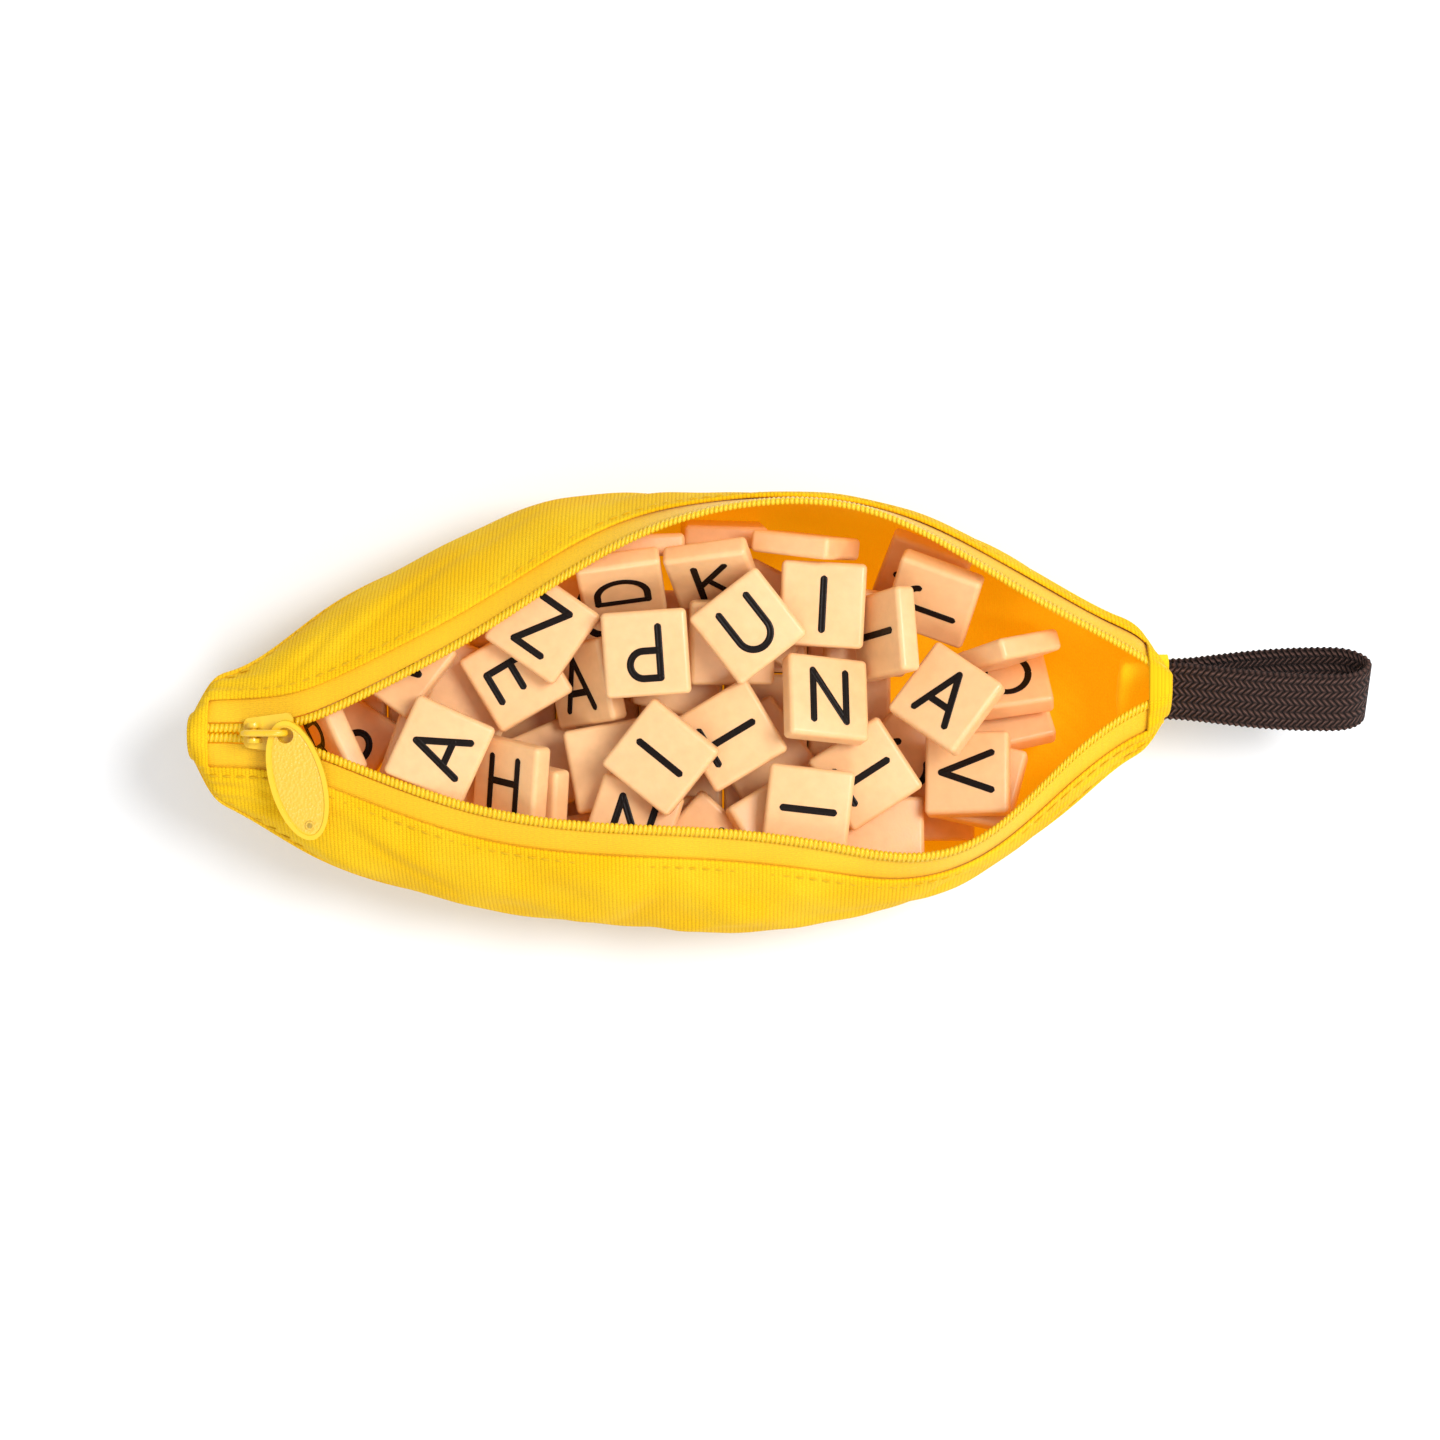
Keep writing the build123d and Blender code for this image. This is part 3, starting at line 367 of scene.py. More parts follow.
def cloth_material(name, groove_shade, plain, pale, cord, thread, share, lift, rough, **constants):
    """Dyed cloth: darker in the grooves of the weave as painted shade, plain on its cords, and pale in soft patches
    where it is worn.
    """
    material, tree, shader = new_material(name, rough, **constants)
    cloth = place_group(tree, weave, UV=coordinates(tree, "UV"), Cord_Pitch=cord, Thread_Pitch=thread,
                        Thread_Share=share)
    # The grooves of the weave take the darker colour: painted shade.
    groove = add_node(tree, "ShaderNodeMapRange", cloth["Height"], 0.0, 0.75, 0.0, 1.0)
    base = two_tone(tree, groove.outputs[0], groove_shade, plain)
    worn = add_node(tree, "ShaderNodeMapRange", cloth["Worn"], 0.42, 0.72, 0.0, 0.55)
    soft = add_node(tree, "ShaderNodeMix", worn.outputs[0], data_type="RGBA")
    tree.links.new(base, soft.inputs[6])
    soft.inputs[7].default_value = (*pale, 1)
    fleck = add_node(tree, "ShaderNodeMapRange", cloth["Fleck"], 0.3, 0.7, 0.9, 1.07)
    finish_look(tree, shader, scaled(tree, soft.outputs[2], fleck.outputs[0]), cloth["Height"], lift)
    return material


canvas = cloth_material("yellow ribbed canvas", YELLOW_GROOVE_SHADE, YELLOW, YELLOW_PALE, 0.00088, 0.00058, 0.42, 0.00014,
                        0.86, Sheen_Weight=0.03, Sheen_Roughness=0.5, Specular_IOR_Level=0.1)
stations = np.linspace(-HALF_LENGTH, HALF_LENGTH, STATIONS)
far_seam_run, near_seam_run = seam_run(stations, 1), seam_run(stations, -1)
FAR_FOLDS = [(-62, 20, 22, 16, 2.2, 0.7), (-38, 26, 8, 14, 2.4, 0.5), (-84, 15, 35, 9, 1.8, 0.7),
             (30, 22, -12, 18, 2.4, 0.5), (72, 16, -28, 10, 2.0, 0.7), (88, 14, -10, 8, 1.5, 0.5)]
NEAR_FOLDS = [(-8, -24, 58, 9, 2.6, 0.9), (5, -30, 30, 12, 2.2, -0.5), (-64, -20, -24, 14, 2.2, 0.8),
              (-88, -17, -38, 9, 1.7, 0.7), (42, -22, 18, 15, 2.6, 0.8), (60, -16, 34, 9, 1.8, 0.7),
              (85, -14, 22, 9, 1.6, 0.6)]
far_canvas = cloth_band("far_canvas", stations, FOLD, far_seam_run - 1.0, 0.0, CANVAS, 56, 3, 0.7, FAR_FOLDS, 0.55)
near_canvas = cloth_band("near_canvas", stations, 1.0 - near_seam_run, -FOLD, 0.0, CANVAS, 60, 5, 0.9,
                         NEAR_FOLDS, 0.55)
whole_run = run_lengths(whole_sections(stations))[:, -1]
base_canvas = cloth_band("base_canvas", stations, far_seam_run + 1.0, whole_run - near_seam_run - 1.0, 0.0, CANVAS,
                         64, 7, 0.12, gather=0.35)


def end_wall(name, x, side, depth=0.0, bulge=1.0, draw=0.1):
    """A closed end: rings of the section's outline at a depth, its mouth bridged from lip to lip, that draw in and
    bulge out as a quarter circle does, then shrink to the middle on both faces."""
    length = run_lengths(whole_sections(np.array([x])))[0, -1]
    ring = on_cloth(np.array([x]), np.linspace(0.05, length - 0.05, 150)[None, :], depth)[0, :, 1:]
    ring = np.concatenate([ring, np.linspace(ring[-1], ring[0], 9)[1:-1]])
    turn = np.linspace(0, math.pi / 2, 7)
    size = np.concatenate([[0.02, 0.4, 0.8], 1 - draw + draw * np.cos(turn) - 0.002, [0.7, 0.5, 0.3, 0.02]])
    out = np.concatenate([[0.0, 0.0, 0.0], bulge * np.sin(turn), [1.03 * bulge] * 4])
    rings = ring.mean(axis=0) + size[:, None, None] * (ring - ring.mean(axis=0))
    points = np.concatenate([np.broadcast_to((x + side * out)[:, None, None], (*rings.shape[:2], 1)), rings], axis=2)
    return add_piece(name, points, tube_faces(*points.shape[:2]), points[:, :, 1:] * MM)


for side, name in ((-1, "slider_end_wall"), (1, "strap_end_wall")):
    wall = end_wall(name, side * HALF_LENGTH, side)
    wall.data.materials.append(canvas)
    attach(wall, "pouch")
    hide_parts("bottom_panel")
for piece, node in ((far_canvas, "far_side_panel"), (near_canvas, "near_side_panel"), (base_canvas, "bottom_panel")):
    piece.data.materials.append(canvas)
    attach(piece, "pouch")
    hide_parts(node)


def end_binding(name, middle, half_length, reach, rise):
    """A strip of canvas folded across the zip's end. At each place along a path from one side over both lips to the
    other, its section is an oval in x and depth; gathers are a sine along the path."""
    turn = around(16)
    path = np.concatenate([-np.linspace(reach, 0.05, 34), np.linspace(0.05, reach, 34)])
    gather = 0.34 * np.sin(path * 1.7 + 0.9 * np.sin(path * 0.7)) * np.clip(np.abs(path) / 3.0, 0, 1)
    taper = np.sqrt(np.clip((reach + 0.02 - np.abs(path)) / 2.5, 0, 1))
    x = middle + half_length * np.sign(np.cos(turn)) * np.abs(np.cos(turn)) ** 0.6
    depth = 0.35 - (rise + gather * np.sin(turn)[:, None]) * np.sin(turn)[:, None] * taper
    points = on_cloth(x, np.broadcast_to(path, (16, 68)), depth).transpose(1, 0, 2)
    uv = np.stack(np.broadcast_arrays(x[None, :], path[:, None]), axis=2) * MM
    return add_piece(name, points, tube_faces(68, 16), uv)


for name, middle, half_length, reach, rise in (("slider_end_binding", -107.3, 2.1, 10.0, 0.8),
                                               ("strap_end_binding", 107.1, 2.6, 8.5, 0.85)):
    binding = end_binding(name, middle, half_length, reach, rise)
    binding.data.materials.append(canvas)
    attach(binding, "pouch")

# ---------------------------------------------------------------- side seams
# Each side is joined to the base by a turned seam that stands up as a rounded welt of folded canvas, with a row of
# lockstitches pressed into the side panel just above it.
welt = cloth_material("seam welt canvas", YELLOW_GROOVE_SHADE, (0.93, 0.53, 0.003), YELLOW_PALE, 0.00088, 0.0007, 0.45,
                      0.00012, 0.82, Sheen_Weight=0.08, Specular_IOR_Level=0.2)
for name, centre, node in (("far_welt", far_seam_run, "far_seam"), ("near_welt", -near_seam_run, "near_seam")):
    piece = cloth_band(name, stations, centre - SEAM_WIDTH / 2, centre + SEAM_WIDTH / 2, -0.7, CANVAS, 7)
    piece.data.materials.append(welt)
    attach(piece, "pouch")
    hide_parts(node)

# ---------------------------------------------------------------- topstitching
# Yellow polyester lockstitches 2 mm below each folded edge hold the canvas to the zip tape. Each stitch is a short
# grain of thread that dips into the cloth at both ends.
STITCH_PITCH, STITCH_LENGTH, THREAD, STITCHED = 2.9, 2.3, 0.3, 104.0
thread_look, tree, shader = new_material("topstitch thread", 0.6, Sheen_Weight=0.02, Specular_IOR_Level=0.2)
grain = add_node(tree, "ShaderNodeTexWave", coordinates(tree), 2600.0)
twist = two_tone(tree, grain.outputs["Fac"], (0.78, 0.43, 0.003), (0.92, 0.56, 0.010))
finish_look(tree, shader, twist, grain.outputs["Fac"], 0.00005)


def stitch_row(name, run):
    """Grains of thread along the cloth at a run from the lip: rings whose radius follows a half ellipse along the
    stitch, and whose middle sinks towards both ends as a parabola."""
    count = int(2 * STITCHED / STITCH_PITCH)
    x = np.linspace(-STITCHED, STITCHED, count)
    run = run(x)[:, None] if callable(run) else np.full((count, 1), run)
    turn = around(6)
    rings = []
    for s in np.linspace(-1, 1, 7):
        radius = THREAD * math.sqrt(max(1 - s * s, 0.02))
        rings.append(on_cloth(x + s * STITCH_LENGTH / 2, run + radius * np.cos(turn),
                              radius * np.sin(turn) + 0.04 + 0.2 * s * s))
    points = np.stack(rings, axis=1)
    faces = [f for i in range(count) for f in tube_faces(7, 6, i * 42)]
    return add_piece(name, points, faces)


for name, run in (("far_fold_stitches", FOLD + 2.0), ("near_fold_stitches", -FOLD - 2.0),
                  ("far_seam_stitches", lambda x: seam_run(x, 1) - 2.6),
                  ("near_seam_stitches", lambda x: 2.6 - seam_run(x, -1))):
    row = stitch_row(name, run)
    row.data.materials.append(thread_look)
    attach(row, "pouch")

# ---------------------------------------------------------------- lining
# The inside is a thin, smooth orange-yellow cloth that hangs from the folds in soft creases, with a flat piece
# closing each end. It glows faintly, as painted light that brightens the shaded inside.
LINING_DEPTH = CANVAS + TAPE + 2 * PLY_GAP
# The emission is painted light: the lining glows so that the shaded inside reads bright.
lining_with_painted_glow = cloth_material("orange lining", (0.92, 0.46, 0.004), (0.96, 0.52, 0.006), (1.0, 0.60, 0.012), 0.0004,
                             0.0004, 0.5, 0.00004, 0.7, Sheen_Weight=0.03, Specular_IOR_Level=0.15,
                             Emission_Color=(1.0, 0.50, 0.001, 1), Emission_Strength=0.30)
pucker = 0.55 * np.sin(0.75 * stations + 1.3 * np.sin(0.23 * stations))
lining_body = cloth_band("lining_cloth", stations, FOLD - 0.7 + pucker, whole_run - FOLD + 0.7 - pucker,
                         LINING_DEPTH, LINING_DEPTH + LINING, 150, 11, 0.35, gather=0.4)
lining_body.data.materials.append(lining_with_painted_glow)
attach(lining_body, "pouch")
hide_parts("lining")
for side, name in ((-1, "slider_end_lining"), (1, "strap_end_lining")):
    wall = end_wall(name, side * (HALF_LENGTH - 0.45), side, LINING_DEPTH + 0.1, 0.3, 0.02)
    wall.data.materials.append(lining_with_painted_glow)
    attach(wall, "pouch")
    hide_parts("lining")

# ---------------------------------------------------------------- zip tapes
# A woven polyester tape runs along each lip, from the coil's edge down under the folded canvas, to 5 mm below the
# fold. Its inner side shows above the lining.
tape_look = cloth_material("golden zip tape", (0.78, 0.41, 0.002), (0.86, 0.49, 0.003), (0.92, 0.57, 0.010), 0.0016,
                           0.0005, 0.75, 0.00005, 0.6, Sheen_Weight=0.2, Specular_IOR_Level=0.35)
TAPE_END, TAPE_DEPTH = FOLD + TAPE_HIDDEN, CANVAS + PLY_GAP
for name, start, end, node in (("far_tape", TAPE_START, TAPE_END, "far_zip_tape"),
                               ("near_tape", -TAPE_END, -TAPE_START, "near_zip_tape")):
    piece = cloth_band(name, stations, start, end, TAPE_DEPTH, TAPE_DEPTH + TAPE, 22)
    piece.data.materials.append(tape_look)
    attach(piece, "pouch")
    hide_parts(node)

# ---------------------------------------------------------------- zip coils
# The teeth are turns of yellow nylon wire wound along each lip. Each turn is bent over the lip's edge like a staple;
# past the slider the two rows mesh.
COIL_PITCH, COIL_DEPTH, COIL_THICKNESS, WIRE = 1.05, 0.45, 1.7, 0.40
coil_look, tree, shader = new_material("yellow nylon coil", 0.34, Specular_IOR_Level=0.5, Subsurface_Weight=0.08,
                                       Subsurface_Scale=0.002)
speck = add_node(tree, "ShaderNodeTexNoise", coordinates(tree), None, 700.0, 2.0)
tone = two_tone(tree, speck.outputs["Fac"], (0.84, 0.47, 0.003), (0.93, 0.60, 0.012))
finish_look(tree, shader, tone, speck.outputs["Fac"], 0.00003)


def lip_line(x, side):
    """The lip's points over the stations x."""
    return np.column_stack([x, (lip_far if side > 0 else lip_near)(x), lip_z(x)])


def coil_turns(name, side, first, last):
    """Turns of wire at even steps of the lip's length. The wire's middle goes in, round a half circle and back in
    the plane of run and depth, and a ring of six points is carried along it."""
    fine = np.linspace(first, last, 2000)
    length = np.concatenate([[0], np.cumsum(np.linalg.norm(np.diff(lip_line(fine, side), axis=0), axis=1))])
    count = int(length[-1] / COIL_PITCH)
    x = np.interp((np.arange(count) + 0.5) * COIL_PITCH, length, fine)
    heading = lip_line(x + 0.1, side) - lip_line(x - 0.1, side)
    heading /= np.linalg.norm(heading, axis=1)[:, None]
    bow = np.linspace(-math.pi / 2, math.pi / 2, 5)
    round_half = COIL_THICKNESS / 2 - WIRE
    middle = COIL_DEPTH + COIL_THICKNESS / 2
    path_run = np.concatenate([[COIL_WIDTH - 0.1], round_half + WIRE - (round_half + 0.1) * np.cos(bow),
                               [COIL_WIDTH - 0.1]])
    path_depth = np.concatenate([[middle - round_half], middle + round_half * np.sin(bow), [middle + round_half]])
    path = np.column_stack([path_run, path_depth])
    forward = np.gradient(path, axis=0)
    forward /= np.linalg.norm(forward, axis=1)[:, None]
    aside = np.column_stack([-forward[:, 1], forward[:, 0]])
    turn = around(6)
    ring = path[:, None, :] + WIRE * np.cos(turn)[None, :, None] * aside[:, None, :]
    slide = np.broadcast_to(WIRE * 1.24 * np.sin(turn), ring.shape[:2]).ravel()
    run, depth = ring[:, :, 0].ravel(), ring[:, :, 1].ravel()
    run = side * np.maximum(run, 0.002)
    points = on_cloth(x, np.broadcast_to(run, (count, len(run))), np.broadcast_to(depth, (count, len(run))))
    lean = np.broadcast_to(0.16 * (np.abs(run) - 1.0), slide.shape) * (1 if side > 0 else -1)
    points = points + (slide + lean)[None, :, None] * heading[:, None, :]
    faces = [f for i in range(count) for f in tube_faces(7, 6, i * 42)]
    return add_piece(name, points, faces)


OPEN_FROM, OPEN_TO, CLOSED_FROM, CLOSED_TO = -85.8, 106.0, -106.0, -86.0
far_coil = coil_turns("far_coil", 1, OPEN_FROM, OPEN_TO)
near_coil = coil_turns("near_coil", -1, OPEN_FROM, OPEN_TO)
closed_far = coil_turns("closed_coil_far", 1, CLOSED_FROM, CLOSED_TO)
closed_near = coil_turns("closed_coil_near", -1, CLOSED_FROM, CLOSED_TO)


def coil_core(name, side, first, last):
    """The cord inside the turns: a ring of eight points, an oval in run and depth, carried along the stations."""
    x = np.linspace(first, last, int(last - first) + 2)
    turn = around(8)
    run = side * np.broadcast_to(1.3 + 0.95 * np.cos(turn), (len(x), 8))
    depth = np.broadcast_to(COIL_DEPTH + COIL_THICKNESS / 2 + 0.62 * np.sin(turn), (len(x), 8))
    return add_piece(name, on_cloth(x, run, depth), tube_faces(len(x), 8))


cores = [coil_core("far_coil_core", 1, OPEN_FROM, OPEN_TO), coil_core("near_coil_core", -1, OPEN_FROM, OPEN_TO)]
closed_cores = [coil_core("closed_core_far", 1, CLOSED_FROM, CLOSED_TO),
                coil_core("closed_core_near", -1, CLOSED_FROM, CLOSED_TO)]
for piece in cores + closed_cores:
    piece.data.materials.append(coil_look)
    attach(piece, "pouch")
for piece, node in ((far_coil, "far_zip_coil"), (near_coil, "near_zip_coil"), (closed_far, "closed_zip_coil"),
                    (closed_near, "closed_zip_coil")):
    piece.data.materials.append(coil_look)
    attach(piece, "pouch")
    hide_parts(node)
for piece in [closed_far, closed_near] + closed_cores:
    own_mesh(piece)

# ---------------------------------------------------------------- stops, slider, link and pull
# The slider, its link, the oval pull and the clamped stops are die-cast metal with a thick yellow enamel, which
# gathers smooth over the rims. The rims are painted paler as a painted highlight, and soft patches of wear are paler
# too.
enamel, tree, shader = new_material("yellow enamel on metal", 0.3, Coat_Weight=0.35, Coat_Roughness=0.12,
                                    Specular_IOR_Level=0.5)
spot = coordinates(tree)
wear = add_node(tree, "ShaderNodeTexNoise", spot, None, 260.0, 3.0)
peel = add_node(tree, "ShaderNodeTexNoise", spot, None, 1500.0, 2.0)
# Convex edges found by pointiness are painted paler: a painted highlight.
rim = add_node(tree, "ShaderNodeMapRange", tree.nodes.new("ShaderNodeNewGeometry").outputs["Pointiness"],
               0.5, 0.6, 0.0, 1.0)
tone = two_tone(tree, maths(tree, "MAXIMUM", rim.outputs[0], maths(tree, "MULTIPLY", wear.outputs["Fac"], 0.55)),
                (0.80, 0.45, 0.003), (0.90, 0.60, 0.03))
rough = add_node(tree, "ShaderNodeMapRange", wear.outputs["Fac"], 0.3, 0.7, 0.24, 0.4)
finish_look(tree, shader, tone, peel.outputs["Fac"], 0.00004, rough.outputs[0])

# The pull's face is a stippled field inside the raised rim: a mask of the oval, from distances along its two axes.
# The field is painted a little darker as painted shade in the recess, and a ring of painted shade goes round the edge
# of the small boss near its far end.
PULL_MIDDLE, PULL_LONG, PULL_WIDE = (-0.08475, -0.01434, 0.04488), (0.2386, -0.957, -0.165), (0.970, 0.242, 0.0)
HALF_FIELD_LONG, HALF_FIELD_WIDE, BOSS_PLACE, BOSS_RADIUS = 0.01255, 0.005, 0.01045, 0.00095
pull_enamel = enamel.copy()
pull_enamel.name = "yellow enamel with stippled field"
tree, shader = pull_enamel.node_tree, pull_enamel.node_tree.nodes["Principled BSDF"]
spot = coordinates(tree)
offset = add_node(tree, "ShaderNodeVectorMath", spot, PULL_MIDDLE, operation="SUBTRACT").outputs[0]
reach = [maths(tree, "POWER", maths(tree, "DIVIDE", add_node(
    tree, "ShaderNodeVectorMath", offset, axis, operation="DOT_PRODUCT").outputs["Value"], size), 2.0)
    for axis, size in ((PULL_LONG, HALF_FIELD_LONG), (PULL_WIDE, HALF_FIELD_WIDE))]
field = add_node(tree, "ShaderNodeMapRange", maths(tree, "ADD", *reach), 0.9, 1.0, 1.0, 0.0).outputs[0]
stipple = add_node(tree, "ShaderNodeTexVoronoi", spot, None, 1500.0)
from_boss = add_node(tree, "ShaderNodeVectorMath", offset, tuple(BOSS_PLACE * c for c in PULL_LONG),
                     operation="DISTANCE").outputs["Value"]
boss_shade_ring = add_node(tree, "ShaderNodeMapRange", maths(tree, "ABSOLUTE", maths(
    tree, "SUBTRACT", from_boss, BOSS_RADIUS)), 0.00012, 0.0003, 0.55, 1.0).outputs[0]
dimple = maths(tree, "MULTIPLY", stipple.outputs["Distance"], field)
# The recessed field's darker tone and the ring round the boss are painted shade.
tone = two_tone(tree, field, (0.86, 0.54, 0.015), (0.80, 0.49, 0.035))
finish_look(tree, shader, scaled(tree, tone, boss_shade_ring), dimple, 0.00016)
for node in ("slider_body", "pull_link", "pull_tab", "zip_end_stop", "far_top_stop", "near_top_stop"):
    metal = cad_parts[node]
    for place in metal.material_slots:
        place.material = pull_enamel if node == "pull_tab" else enamel
    weld = metal.modifiers.new("joined edges", "WELD")
    weld.merge_threshold = 0.00001
    edge = metal.modifiers.new("soft enamel edges", "BEVEL")
    edge.width, edge.segments, edge.limit_method, edge.angle_limit = 0.00014, 3, "ANGLE", math.radians(35)

# ---------------------------------------------------------------- strap
# A hand strap of flat dark brown braid, 15 mm wide: one length folded into a loop, its two ends sewn together
# inside the pouch. The braid's threads cross in a herringbone of narrow columns.
STRAP_WIDTH, STRAP_THICKNESS, STRAP_LEAN = 15.0, 1.45, math.radians(34.0)
STRAP_ROOT = np.array([112.7, 6.0, 31.0])
PLY_TOP = [(-12.7, 0.85), (-6.0, 0.85), (0.0, 0.95), (6.0, 2.0), (18.0, 4.4), (32.5, 5.6), (39.8, 4.1), (42.3, 0.0)]
COLUMN, BRAID_PITCH = 0.00188, 0.00135
braid, taken, given = new_group(
    "Herringbone braid", {"UV": ("Vector", None), "Column": ("Float", COLUMN), "Pitch": ("Float", BRAID_PITCH)},
    {"Height": "Float"})
apart = add_node(braid, "ShaderNodeSeparateXYZ", taken["UV"])
zigzag = maths(braid, "PINGPONG", maths(braid, "ADD", apart.outputs[1], 0.1), taken["Column"])
slant = maths(braid, "ADD", apart.outputs[0], maths(braid, "MULTIPLY", zigzag, 0.8))
strand = maths(braid, "ABSOLUTE", maths(braid, "SINE", maths(
    braid, "MULTIPLY", maths(braid, "DIVIDE", slant, taken["Pitch"]), math.pi)))
column_wave = maths(braid, "ABSOLUTE", maths(braid, "SINE", maths(
    braid, "MULTIPLY", maths(braid, "DIVIDE", maths(braid, "ADD", apart.outputs[1], 0.1), taken["Column"]), math.pi)))
fuzz = add_node(braid, "ShaderNodeTexNoise", taken["UV"], None, 2200.0, 2.0)
braid.links.new(maths(braid, "MULTIPLY", maths(braid, "MULTIPLY", maths(braid, "POWER", strand, 1.5), maths(
    braid, "ADD", 0.25, maths(braid, "MULTIPLY", column_wave, 0.75))), maths(
        braid, "ADD", 0.8, maths(braid, "MULTIPLY", fuzz.outputs["Fac"], 0.35))), given["Height"])

braid_look, tree, shader = new_material("dark brown braid", 0.75, Specular_IOR_Level=0.15)
weft = place_group(tree, braid, UV=coordinates(tree, "UV"))
# The colour follows the braid's relief, near black in its hollows and brown on its crowns: painted shade and painted
# highlight.
tone = two_tone(tree, weft["Height"], (0.0035, 0.0017, 0.0014), (0.15, 0.078, 0.062))
finish_look(tree, shader, tone, weft["Height"], 0.0011)

loop_path = np.array(PLY_TOP + [(x, -y) for x, y in PLY_TOP[-2::-1]])
knots = np.concatenate([[0], np.cumsum(np.linalg.norm(np.diff(loop_path, axis=0), axis=1))])
along = np.linspace(0, knots[-1], 520)
middle_line = np.column_stack([cubic(knots, loop_path[:, 0])(along), cubic(knots, loop_path[:, 1])(along)])
forward = np.gradient(middle_line, axis=0)
forward /= np.linalg.norm(forward, axis=1)[:, None]
square = np.column_stack([-forward[:, 1], forward[:, 0]])
rim_turn = np.linspace(0, math.pi, 7)[1:-1]
half_thick, flat_half = STRAP_THICKNESS / 2, STRAP_WIDTH / 2 - STRAP_THICKNESS / 2
face_across = np.linspace(-flat_half, flat_half, 30)
rim_width = np.concatenate([face_across, flat_half + half_thick * np.sin(rim_turn), face_across[::-1],
                            -flat_half - half_thick * np.sin(rim_turn)])
rim_height = np.concatenate([np.full(30, half_thick), half_thick * np.cos(rim_turn), np.full(30, -half_thick),
                             -half_thick * np.cos(rim_turn)])
strap_up = np.array([0, math.sin(STRAP_LEAN), -math.cos(STRAP_LEAN)])
strap_across = np.array([0, math.cos(STRAP_LEAN), math.sin(STRAP_LEAN)])
scallop = 1 + 0.026 * np.sin(2 * math.pi * along / (BRAID_PITCH / MM))
flat_place = middle_line[:, None, :] + square[:, None, :] * rim_height[None, :, None]
strap_points = (STRAP_ROOT + flat_place[:, :, :1] * np.array([1.0, 0, 0]) + flat_place[:, :, 1:] * strap_up
                + (scallop[:, None] * rim_width[None, :])[:, :, None] * strap_across)
strap_uv = np.stack(np.broadcast_arrays(along[:, None], rim_width[None, :] + rim_height[None, :] * 0.2), axis=2) * MM
strap = add_piece("strap_braid_loop", strap_points, tube_faces(*strap_points.shape[:2]), strap_uv)
strap.data.materials.append(braid_look)
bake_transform(strap)
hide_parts("strap_loop", "strap_tails")
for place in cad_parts["strap_tack"].material_slots:
    place.material = thread_look
facing_turn = around(40)
facing_along = np.array([0.02, 0.5, 1.4, 3.0, 5.0, 7.0, 9.0, 11.0])
facing_size = np.array([0.3, 0.86, 0.97, 1.0, 0.99, 1.0, 1.02, 1.02])
facing_shape = (np.abs(np.cos(facing_turn)) ** 0.35 * np.sign(np.cos(facing_turn)),
                np.abs(np.sin(facing_turn)) ** 0.5 * np.sign(np.sin(facing_turn)))
facing_points = (STRAP_ROOT + (98.8 - 112.7 + facing_along)[:, None, None] * np.array([1.0, 0, 0])
                 + (8.4 * facing_size[:, None] * facing_shape[0])[:, :, None] * strap_across
                 + (2.5 * facing_size[:, None] * facing_shape[1])[:, :, None] * strap_up)
facing_uv = np.stack(np.broadcast_arrays(facing_along[:, None], 8.4 * facing_shape[0][None, :]), axis=2) * MM
facing = add_piece("strap_end_facing", facing_points, tube_faces(*facing_points.shape[:2]), facing_uv)
# The facing shares the lining's faint glow, which is painted light.
facing.data.materials.append(lining_with_painted_glow)
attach(facing, "pouch")

# ---------------------------------------------------------------- tiles
# The game's tiles are moulded cream melamine squares, 19 mm across and 5 mm thick, with softly rounded edges. They
# lie heaped in the pouch; four of them lift straight out.
TILE_SIDE, TILE_THICKNESS, TILE_ROUND = 19.0, 5.0, 1.15
tile_look, tree, shader = new_material("cream moulded tile", 0.36, Subsurface_Weight=0.25, Subsurface_Scale=0.003,
                                       Subsurface_Radius=(1.0, 0.7, 0.3), Specular_IOR_Level=0.45)
spot = coordinates(tree)
batch = add_node(tree, "ShaderNodeTexNoise", spot, None, 38.0, 1.0)
cloud = add_node(tree, "ShaderNodeTexNoise", spot, None, 420.0, 4.0)
grit = add_node(tree, "ShaderNodeTexNoise", spot, None, 2400.0, 2.0)
tone = two_tone(tree, batch.outputs["Fac"], (0.84, 0.47, 0.20), (0.92, 0.58, 0.30))
shade = add_node(tree, "ShaderNodeMapRange", cloud.outputs["Fac"], 0.3, 0.7, 0.95, 1.03)
rough = add_node(tree, "ShaderNodeMapRange", cloud.outputs["Fac"], 0.3, 0.7, 0.28, 0.46)
finish_look(tree, shader, scaled(tree, tone, shade.outputs[0]), grit.outputs["Fac"], 0.00002, rough.outputs[0])


def rounded_box(sides, radius):
    """A box with rounded edges: points of a grid on a plain box, each carried to the nearest point of a smaller
    box and then out by the radius towards where it was. Doubled points along the edges are merged."""
    half = np.array(sides) / 2
    arc = radius * np.tan(np.radians([0, 15, 30, 45]))
    points, faces = [], []
    for axis in range(3):
        u, v = [a for a in range(3) if a != axis]
        lines = [np.concatenate([-(half[a] - radius) - arc[::-1], half[a] - radius + arc]) for a in (u, v)]
        gu, gv = np.meshgrid(*lines, indexing="ij")
        for side in (-1, 1):
            block = np.zeros((*gu.shape, 3))
            block[..., axis], block[..., u], block[..., v] = side * half[axis], gu, gv
            index = len(points) * 64 + np.arange(64).reshape(8, 8)
            quads = np.stack([index[:-1, :-1], index[1:, :-1], index[1:, 1:], index[:-1, 1:]], axis=2).reshape(-1, 4)
            faces.append(quads if (side > 0) == (axis != 1) else quads[:, ::-1])
            points.append(block.reshape(-1, 3))
    points, faces = np.concatenate(points), np.concatenate(faces)
    core = np.clip(points, -(half - radius), half - radius)
    away = points - core
    points = core + radius * away / np.linalg.norm(away, axis=1)[:, None]
    _, first, back = np.unique(np.round(points, 5), axis=0, return_index=True, return_inverse=True)
    return points[first], back.ravel()[faces]


